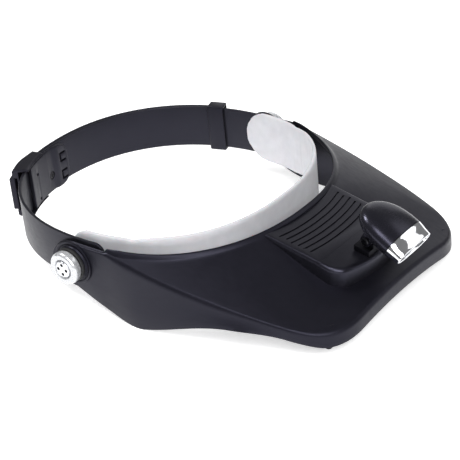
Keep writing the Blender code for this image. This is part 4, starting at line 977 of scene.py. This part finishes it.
def visor_section(point, inward, rim):
    """One closed cross-section of the shell at a station of its outline."""
    top = wall_top(point)
    bottom = wall_bottom(point, top)
    across = rim - point
    width = across.length
    across = across.normalized()

    def on_top(spot, drop=0.0):
        """The top surface at a spot, or a drop below it."""
        level = top_z(spot.x, spot.y) if width > 2.5 else top
        return Vector((spot.x, spot.y, level - drop))

    lip = min(RIM_LIP_WIDTH, 0.3 * width)
    rise = RIM_LIP_HEIGHT * min(1.0, width / 6.0)
    radius = min(CREASE_RADIUS, 0.28 * (top - bottom), 0.45 * width)
    crease = Vector((point.x, point.y, top))
    start = on_top(point + across * radius)
    down = crease - Vector((0, 0, radius))
    crown = [on_top(rim, -rise), on_top(rim - across * lip, -rise)]
    base = on_top(rim - across * (lip + 1.2 * rise))
    far = on_top(rim - across * (lip + 3.0 * rise)) if width > 12 else base.lerp(start, 0.1)
    side = on_top(rim, VISOR_WALL)
    section = bend(crown[0].lerp(side, 0.3), crown[0], crown[0].lerp(crown[1], 0.35), 3)
    section += bend(crown[0].lerp(crown[1], 0.65), crown[1], base.lerp(crown[1], 0.3), 3)
    section += bend(base.lerp(crown[1], 0.25), base, far, 3)
    for i in range(1, 12):
        spot = far.lerp(start, i / 12)
        section.append(on_top(Vector((spot.x, spot.y, 0))))
    section += bend(start, crease, down, 9)
    lean = inward * flare(point)
    foot = Vector((point.x, point.y, bottom)) - lean
    edge = min(0.5, 0.2 * (top - bottom))
    section += [down.lerp(foot, 0.33), down.lerp(foot, 0.66)]
    section += bend(foot + Vector((0, 0, edge)), foot, foot + inward * edge, 3)
    inner = point + inward * VISOR_WALL
    inner_foot = Vector((inner.x, inner.y, bottom)) - lean
    inner_top = on_top(inner, VISOR_WALL)
    section += bend(inner_foot - inward * 0.4, inner_foot, inner_foot + Vector((0, 0, 0.4)), 2)
    section += [inner_foot.lerp(inner_top, 0.5), inner_top]
    for i in range(1, 8):
        spot = inner.lerp(rim, i / 8)
        section.append(on_top(spot, VISOR_WALL))
    section.append(side)
    return section


def visor_stations():
    """Outline point, inward direction and rim point for the whole visor, left to right."""
    ear, side, curve, front = outline_half()
    half = ear + side + curve + front
    first = len(ear)
    run = travelled(half[first:])
    table = rim_arc()
    stations = []
    for i, point in enumerate(half):
        step = half[min(i + 1, len(half) - 1)] - half[max(i - 1, 0)]
        inward = Vector((step.y, -step.x, 0)).normalized()
        if i < first:
            inward = Vector((-1, 0, 0))
            rim = Vector((EAR_X - VISOR_WALL - 0.5, point.y, 0))
        else:
            rim = sample(table, run[i - first] / run[-1])
        if i == len(half) - 1:
            inward = Vector((0, 1, 0))
        stations.append((point, inward, rim))
    flip = Matrix.Diagonal((-1, 1, 1))
    mirrored = [tuple(flip @ part for part in station) for station in stations[:-1]]
    return stations + mirrored[::-1]


def ear_boss(side):
    """The round boss on the ear with its inner ridge."""
    low, high, edge = EAR_X - 0.6, EAR_X + BOSS_HEIGHT, BOSS_RADIUS
    profile = [(2.9, low), (edge, low), (edge, high - 0.6), (edge - 1.2, high - 0.6),
               (edge - 1.7, high - 1.1), (edge - 2.2, high - 1.1), (edge - 2.6, high), (2.9, high)]
    return turned("boss", rounded_profile(profile, 0.3, 3), along_x(0, PIVOT_Y, PIVOT_Z, side))


def lug_end(across, height, radius):
    """Half circle round a lug's pin, from one side under it to the other."""
    turns = [math.radians(-180.0 * i / 24) for i in range(25)]
    return [(across + radius * math.cos(t), height + radius * math.sin(t)) for t in turns]


def lens_lug(side):
    """A lug under the visor's front corner that carries one lens hinge pin."""
    x = side * (LENS_HALF_WIDTH + LENS_BORDER + 3.4)
    top = top_z(x, LENS_AXIS_Y) - 0.6
    outline = [(LENS_AXIS_Y - LENS_LUG_RADIUS, top), (LENS_AXIS_Y + LENS_LUG_RADIUS + 1.2, top)]
    outline += lug_end(LENS_AXIS_Y, LENS_AXIS_Z, LENS_LUG_RADIUS)
    rings = [[Vector((x + dx, y, z)) for y, z in outline] for dx in (-1.5, 1.5)]
    return soften(loft("lug", rings), 0.25)


def box_top(x, y):
    """Height of the battery box's top plane."""
    return BOX_REAR_TOP + BOX_SLOPE * (y - BOX_REAR_Y)


def box_plan(inset=0.0, front_y=None):
    """Outline of the battery box seen from above: arc rear edge, straight sides, bowed front."""
    half = BOX_HALF_WIDTH - inset
    growth = BOX_RIM_SPACE + inset
    rear_arc = [p for p in rim_arc(growth) if p.x < half]
    share = half / (RIM_HALF + growth)
    drop = (1 - share ** RIM_POWER) ** (1 / RIM_POWER)
    corner_y = RIM_CENTRE_Y - (RIM_DEPTH + growth) * drop
    right_rear = [(half, corner_y)] + [(p.x, p.y) for p in rear_arc]
    if right_rear[-1][0] > 1e-6:
        right_rear.append((0.0, rear_arc[-1].y))
    rear = right_rear + [(-x, y) for x, y in right_rear[-2::-1]]
    if front_y is not None:
        return rear + [(-half, front_y), (half, front_y)]
    front = []
    for i in range(49):
        share = -1 + 2 * i / 48
        corner = 5.0 * max(0.0, (abs(share) - 0.82) / 0.18) ** 2.2
        front.append((half * share, BOX_FRONT_Y + inset + BOX_FRONT_SAG * share ** 2 + corner))
    return rear + front


def box_frame(x, y):
    """Frame on the box's top plane: local X to the left, local Y rearward, local Z up."""
    slope = math.atan(BOX_SLOPE)
    up = (0, -math.sin(slope), math.cos(slope))
    return frame_matrix((x, y, box_top(x, y)), (1, 0, 0), up)


def box_block():
    """The battery box's outer form, its top edge rounded broadly on the sides and the front."""
    solid = prism("box", box_plan(), box_floor, box_top)
    rear_y = RIM_CENTRE_Y - RIM_DEPTH - BOX_RIM_SPACE
    mesh = bmesh.new()
    mesh.from_mesh(solid.data)
    rim = []
    for edge in mesh.edges:
        above = all(v.co.z > box_top(v.co.x, v.co.y) - BOX_DEPTH / 2 for v in edge.verts)
        ahead = min(v.co.y for v in edge.verts) < rear_y - BOX_EDGE
        if above and ahead:
            rim.append(edge)
    bmesh.ops.bevel(mesh, geom=rim, offset=BOX_EDGE, segments=6, profile=0.5, affect="EDGES",
                    clamp_overlap=False)
    mesh.to_mesh(solid.data)
    mesh.free()
    return solid


def box_floor(x, y):
    """Height of the battery box's underside."""
    return box_top(x, y) - BOX_DEPTH


def lid_region(gap):
    """The space that the lid takes out of the box."""
    outline = [(-40, -60), (-40, LID_FRONT_Y + gap), (40, LID_FRONT_Y + gap), (40, -60)]
    return prism("region", outline, lambda x, y: box_top(x, y) - LID_THICKNESS - GAP + gap,
                 lambda x, y: box_top(x, y) + 9)


def lid_groove(index):
    """A shallow arc groove that runs beside the visor's rim."""
    start = BOX_RIM_SPACE + GROOVE_START + index * GROOVE_PITCH
    edges = []
    for offset in (start + GROOVE_WIDTH, start):
        arc = [(p.x, p.y) for p in rim_arc(offset) if p.x < BOX_HALF_WIDTH - GROOVE_MARGIN]
        edges.append([p for p in arc[::2] if p[0] > 0.01] + [(0.0, arc[-1][1])])
    far, near = edges
    outline = far + [(-x, y) for x, y in far[-2::-1]]
    outline += [(-x, y) for x, y in near] + near[-2::-1]
    return prism("groove", outline, lambda x, y: box_top(x, y) - GROOVE_DEPTH,
                 lambda x, y: box_top(x, y) + 3)


def make_visor():
    """Shell with its bosses and lens lugs."""
    shell = loft("shell", [visor_section(*station) for station in visor_stations()])
    opening = prism("opening", box_plan(-SEAM), lambda x, y: -30.0, lambda x, y: 60.0)
    combine(shell, [opening], "DIFFERENCE")
    whole = join("visor_skin", [shell, ear_boss(-1), ear_boss(1), lens_lug(-1), lens_lug(1)])
    place(whole, "visor", "black_plastic", "shell", "visor_shell")


def make_box():
    """Battery box, its lid, the lamp switch, the cells and their contacts."""
    cell_front = AAA_REAR_Y - AAA_PITCH - AAA_RADIUS - 0.9
    bay = prism("bay", box_plan(BOX_WALL, cell_front), lambda x, y: box_floor(x, y) + BOX_WALL,
                lambda x, y: box_top(x, y) + 5)
    slot = block(SWITCH_SLOT, box_frame(BOX_HALF_WIDTH, SWITCH_Y), (0, 0, -SWITCH_DROP))
    half = [(POCKET_HALF_WIDTH, cell_front - 1.8), (POCKET_HALF_WIDTH, POCKET_SIDE_Y),
            (POCKET_NOSE_HALF_WIDTH, POCKET_FRONT_Y)]
    nose = [(-x, y) for x, y in half] + half[::-1]
    pocket = prism("pocket", nose, lambda x, y: box_floor(x, y) - 5,
                   lambda x, y: box_top(x, y) - POCKET_ROOF)
    body = combine(box_block(), [lid_region(0.0), bay, slot, pocket], "DIFFERENCE")
    body.name = "box_body"
    place(body, "visor", "black_plastic", "box", "battery_box")
    lid = combine(box_block(), [lid_region(SEAM)], "INTERSECT")
    combine(lid, [lid_groove(i) for i in range(GROOVE_COUNT)], "DIFFERENCE")
    lid.name = "box_lid"
    place(lid, "cover", "black_plastic", "box", "battery_cover")
    refined("lamp_switch", "small", 0.1)
    for word in ("rear", "front"):
        refined("battery_" + word, "cell", 0.2)
        refined("contact_spring_" + word, "steel", 0)
    for word in ("right", "left"):
        refined("contact_plate_" + word, "steel", 0)


# ---- lamp

def lamp_frame():
    """Frame at the middle of the lamp's front: local X right, local Y forward, local Z up."""
    pitch = math.radians(LAMP_PITCH)
    up = (0, -math.sin(pitch), math.cos(pitch))
    return frame_matrix(LAMP_FRONT, (-1, 0, 0), up)


def lamp_ring(half_width, half_height, back, lift=0.0):
    """A squared-off oval section of the lamp at a distance behind its front."""
    ring = []
    for i in range(96):
        turn = 2 * math.pi * i / 96
        x = half_width * signed_power(math.cos(turn), 2 / LAMP_SQUARENESS)
        z = half_height * signed_power(math.sin(turn), 2 / LAMP_SQUARENESS)
        ring.append(Vector((x, -back, z + lift)))
    return ring


def lamp_size(back, shrink=0.0):
    """Half-width and half-height of the housing at a distance behind the front."""
    share = min(max((back - BEZEL_LENGTH) / (LAMP_LENGTH - shrink - BEZEL_LENGTH), 0.0), 0.9995)
    taper = (1 - share ** 2.6) ** 0.5
    return (LAMP_HALF_WIDTH - shrink) * taper, (LAMP_HALF_HEIGHT - shrink) * taper


def lamp_lug(side):
    """One of the two lugs that join the housing to its hinge pin."""
    base = lamp_frame()
    pivot = base.inverted() @ Vector((0, LAMP_AXIS_Y, LAMP_AXIS_Z))
    root = -LAMP_HALF_HEIGHT + 0.8
    outline = [(pivot.y - LAMP_LUG_RADIUS, root), (pivot.y + LAMP_LUG_RADIUS, root)]
    outline += lug_end(pivot.y, pivot.z, LAMP_LUG_RADIUS)
    rings = []
    for x in (side * 5.3, side * 7.8):
        rings.append([base @ Vector((x, y, z)) for y, z in outline])
    return soften(loft("lug", rings), 0.3)


def make_lamp():
    """Domed housing, chrome bezel and what is inside."""
    spot = lamp_frame()
    shares = [1 - (1 - i / 40) ** 1.7 for i in range(41)]
    outer, inner = [], []
    for share in shares:
        back = BEZEL_LENGTH + (LAMP_LENGTH - BEZEL_LENGTH) * share
        outer.append(lamp_ring(*lamp_size(back), back, lift=-LAMP_DROOP * share ** 2))
        deep = BEZEL_LENGTH + (LAMP_LENGTH - LAMP_WALL - BEZEL_LENGTH) * share
        inner.append(lamp_ring(*lamp_size(deep, LAMP_WALL), deep, lift=-LAMP_DROOP * share ** 2))
    housing = loft("dome", outer[::-1] + inner)
    housing.data.transform(spot)
    whole = join("lamp_dome", [housing, lamp_lug(-1), lamp_lug(1)])
    place(whole, "lamp", "black_plastic", "lamp", "lamp_housing")

    back = BEZEL_LENGTH - GAP
    width, height = LAMP_HALF_WIDTH - 0.6, LAMP_HALF_HEIGHT - 1.4
    sight_w, sight_h = width - 1.1, height - 1.1
    rings = []
    for depth, grow in ((0.75, 0.0), (0.25, 0.12), (0.0, 0.38), (0.0, 0.62), (0.18, 0.9), (0.45, 1.0)):
        rings.append(lamp_ring(sight_w + grow * 1.1, sight_h + grow * 1.1, depth))
    for share in (0.1, 0.3, 0.55, 0.8, 0.95, 1.0):
        depth = 0.5 + (back - 0.5) * share
        swell = ease(share)
        rings.append(lamp_ring(width + 0.6 * swell, height + 1.4 * swell, depth))
    rings += [lamp_ring(sight_w, sight_h, back), lamp_ring(sight_w, sight_h, 4.0)]
    bezel = loft("lamp_ring", rings, closed=True)
    bezel.data.transform(spot)
    place(bezel, "lamp", "chrome", "chrome", "lamp_bezel")
    refined("lamp_window", "clear", 0.1)
    refined("lamp_reflector", "mirror", 0)
    refined("lamp_board", "board", 0)
    refined("led_right", "led", 0)
    refined("led_left", "led", 0)
    # painted shade: the bracket under the lamp gets the darker copy of the black plastic
    refined("lamp_bracket", "hinge", 0.2)
    refined("lamp_pin", "oxide_and_pit_shade", 0)


def make_lens():
    """Lens frame, lens and hinge pins."""
    refined("lens_frame", "small", 0)
    refined("lens_plate", "clear", 0)
    refined("lens_pin_right", "steel", 0)
    refined("lens_pin_left", "steel", 0)


# ---- light and camera

def paper(tree, shader, coords):
    """Pale paper, lit from below like a light table so that shadows stay light."""
    tone = spread(tree, noise(tree, coords, 40.0, 3.0), 0.0, 1.0)
    two_tone(tree, shader, tone, (0.90, 0.90, 0.905), (0.92, 0.92, 0.925))
    shader.inputs["Roughness"].default_value = 0.9
    shader.inputs["Emission Color"].default_value = (1.0, 1.0, 1.0, 1.0)
    shader.inputs["Emission Strength"].default_value = 0.55


def make_floor():
    """A plain pale floor."""
    mesh = bmesh.new()
    bmesh.ops.create_grid(mesh, x_segments=8, y_segments=8, size=40.0)
    data = bpy.data.meshes.new("floor")
    mesh.to_mesh(data)
    mesh.free()
    floor = add_object("floor", data)
    data.materials.append(new_material("floor_paper", paper))


def area_light(name, spot, aim, size, power):
    """A square softbox that points at a spot."""
    data = bpy.data.lights.new(name, "AREA")
    data.size = size
    data.energy = power
    lamp = add_object(name, data)
    lamp.location = spot
    lamp.rotation_euler = (Vector(aim) - Vector(spot)).to_track_quat("-Z", "Y").to_euler()


def make_light():
    """Dim surroundings, a key by the camera, and boxes above, behind and on the far side."""
    world = bpy.data.worlds.new("studio")
    world.use_nodes = True
    shade = world.node_tree.nodes["Background"]
    shade.inputs["Color"].default_value = (1.0, 1.0, 1.0, 1.0)
    shade.inputs["Strength"].default_value = 0.22
    bpy.context.scene.world = world
    area_light("top_box", (-0.55, -0.25, 1.15), (0, -0.05, 0), 0.45, 5.0)
    area_light("key_box", (-0.7, -0.9, 0.9), (0, 0, 0.03), 0.8, 13.0)
    area_light("far_box", (1.3, 0.5, 0.55), (0, 0, 0.03), 1.0, 2.9)
    area_light("edge_box", (-0.21, 0.81, 1.18), (0, 0, 0.03), 0.3, 9.0)
    area_light("spark_box", (0.79, -0.63, 0.76), (0, -0.1, 0.05), 0.6, 1.6)
    bpy.context.scene.view_settings.view_transform = "Standard"


def make_camera():
    """The photograph's viewpoint."""
    turn, rise = math.radians(VIEW_AZIMUTH), math.radians(VIEW_ELEVATION)
    back = Vector((math.sin(turn) * math.cos(rise), -math.cos(turn) * math.cos(rise), math.sin(rise)))
    right = Vector((math.cos(turn), math.sin(turn), 0.0))
    level = Matrix((right, back.cross(right), back)).transposed()
    tilted = level @ Matrix.Rotation(math.radians(VIEW_ROLL), 3, "Z")
    data = bpy.data.cameras.new("camera")
    data.lens = VIEW_LENS
    data.clip_start = 0.05
    data.clip_end = 100.0
    camera = add_object("camera", data)
    camera.matrix_world = Matrix.Translation(Vector(VIEW_AIM) + back * VIEW_DISTANCE) @ tilted.to_4x4()
    bpy.context.scene.camera = camera


make_camera()
make_light()
make_floor()
make_headband()
make_pivots()
make_visor()
make_box()
make_lamp()
make_lens()
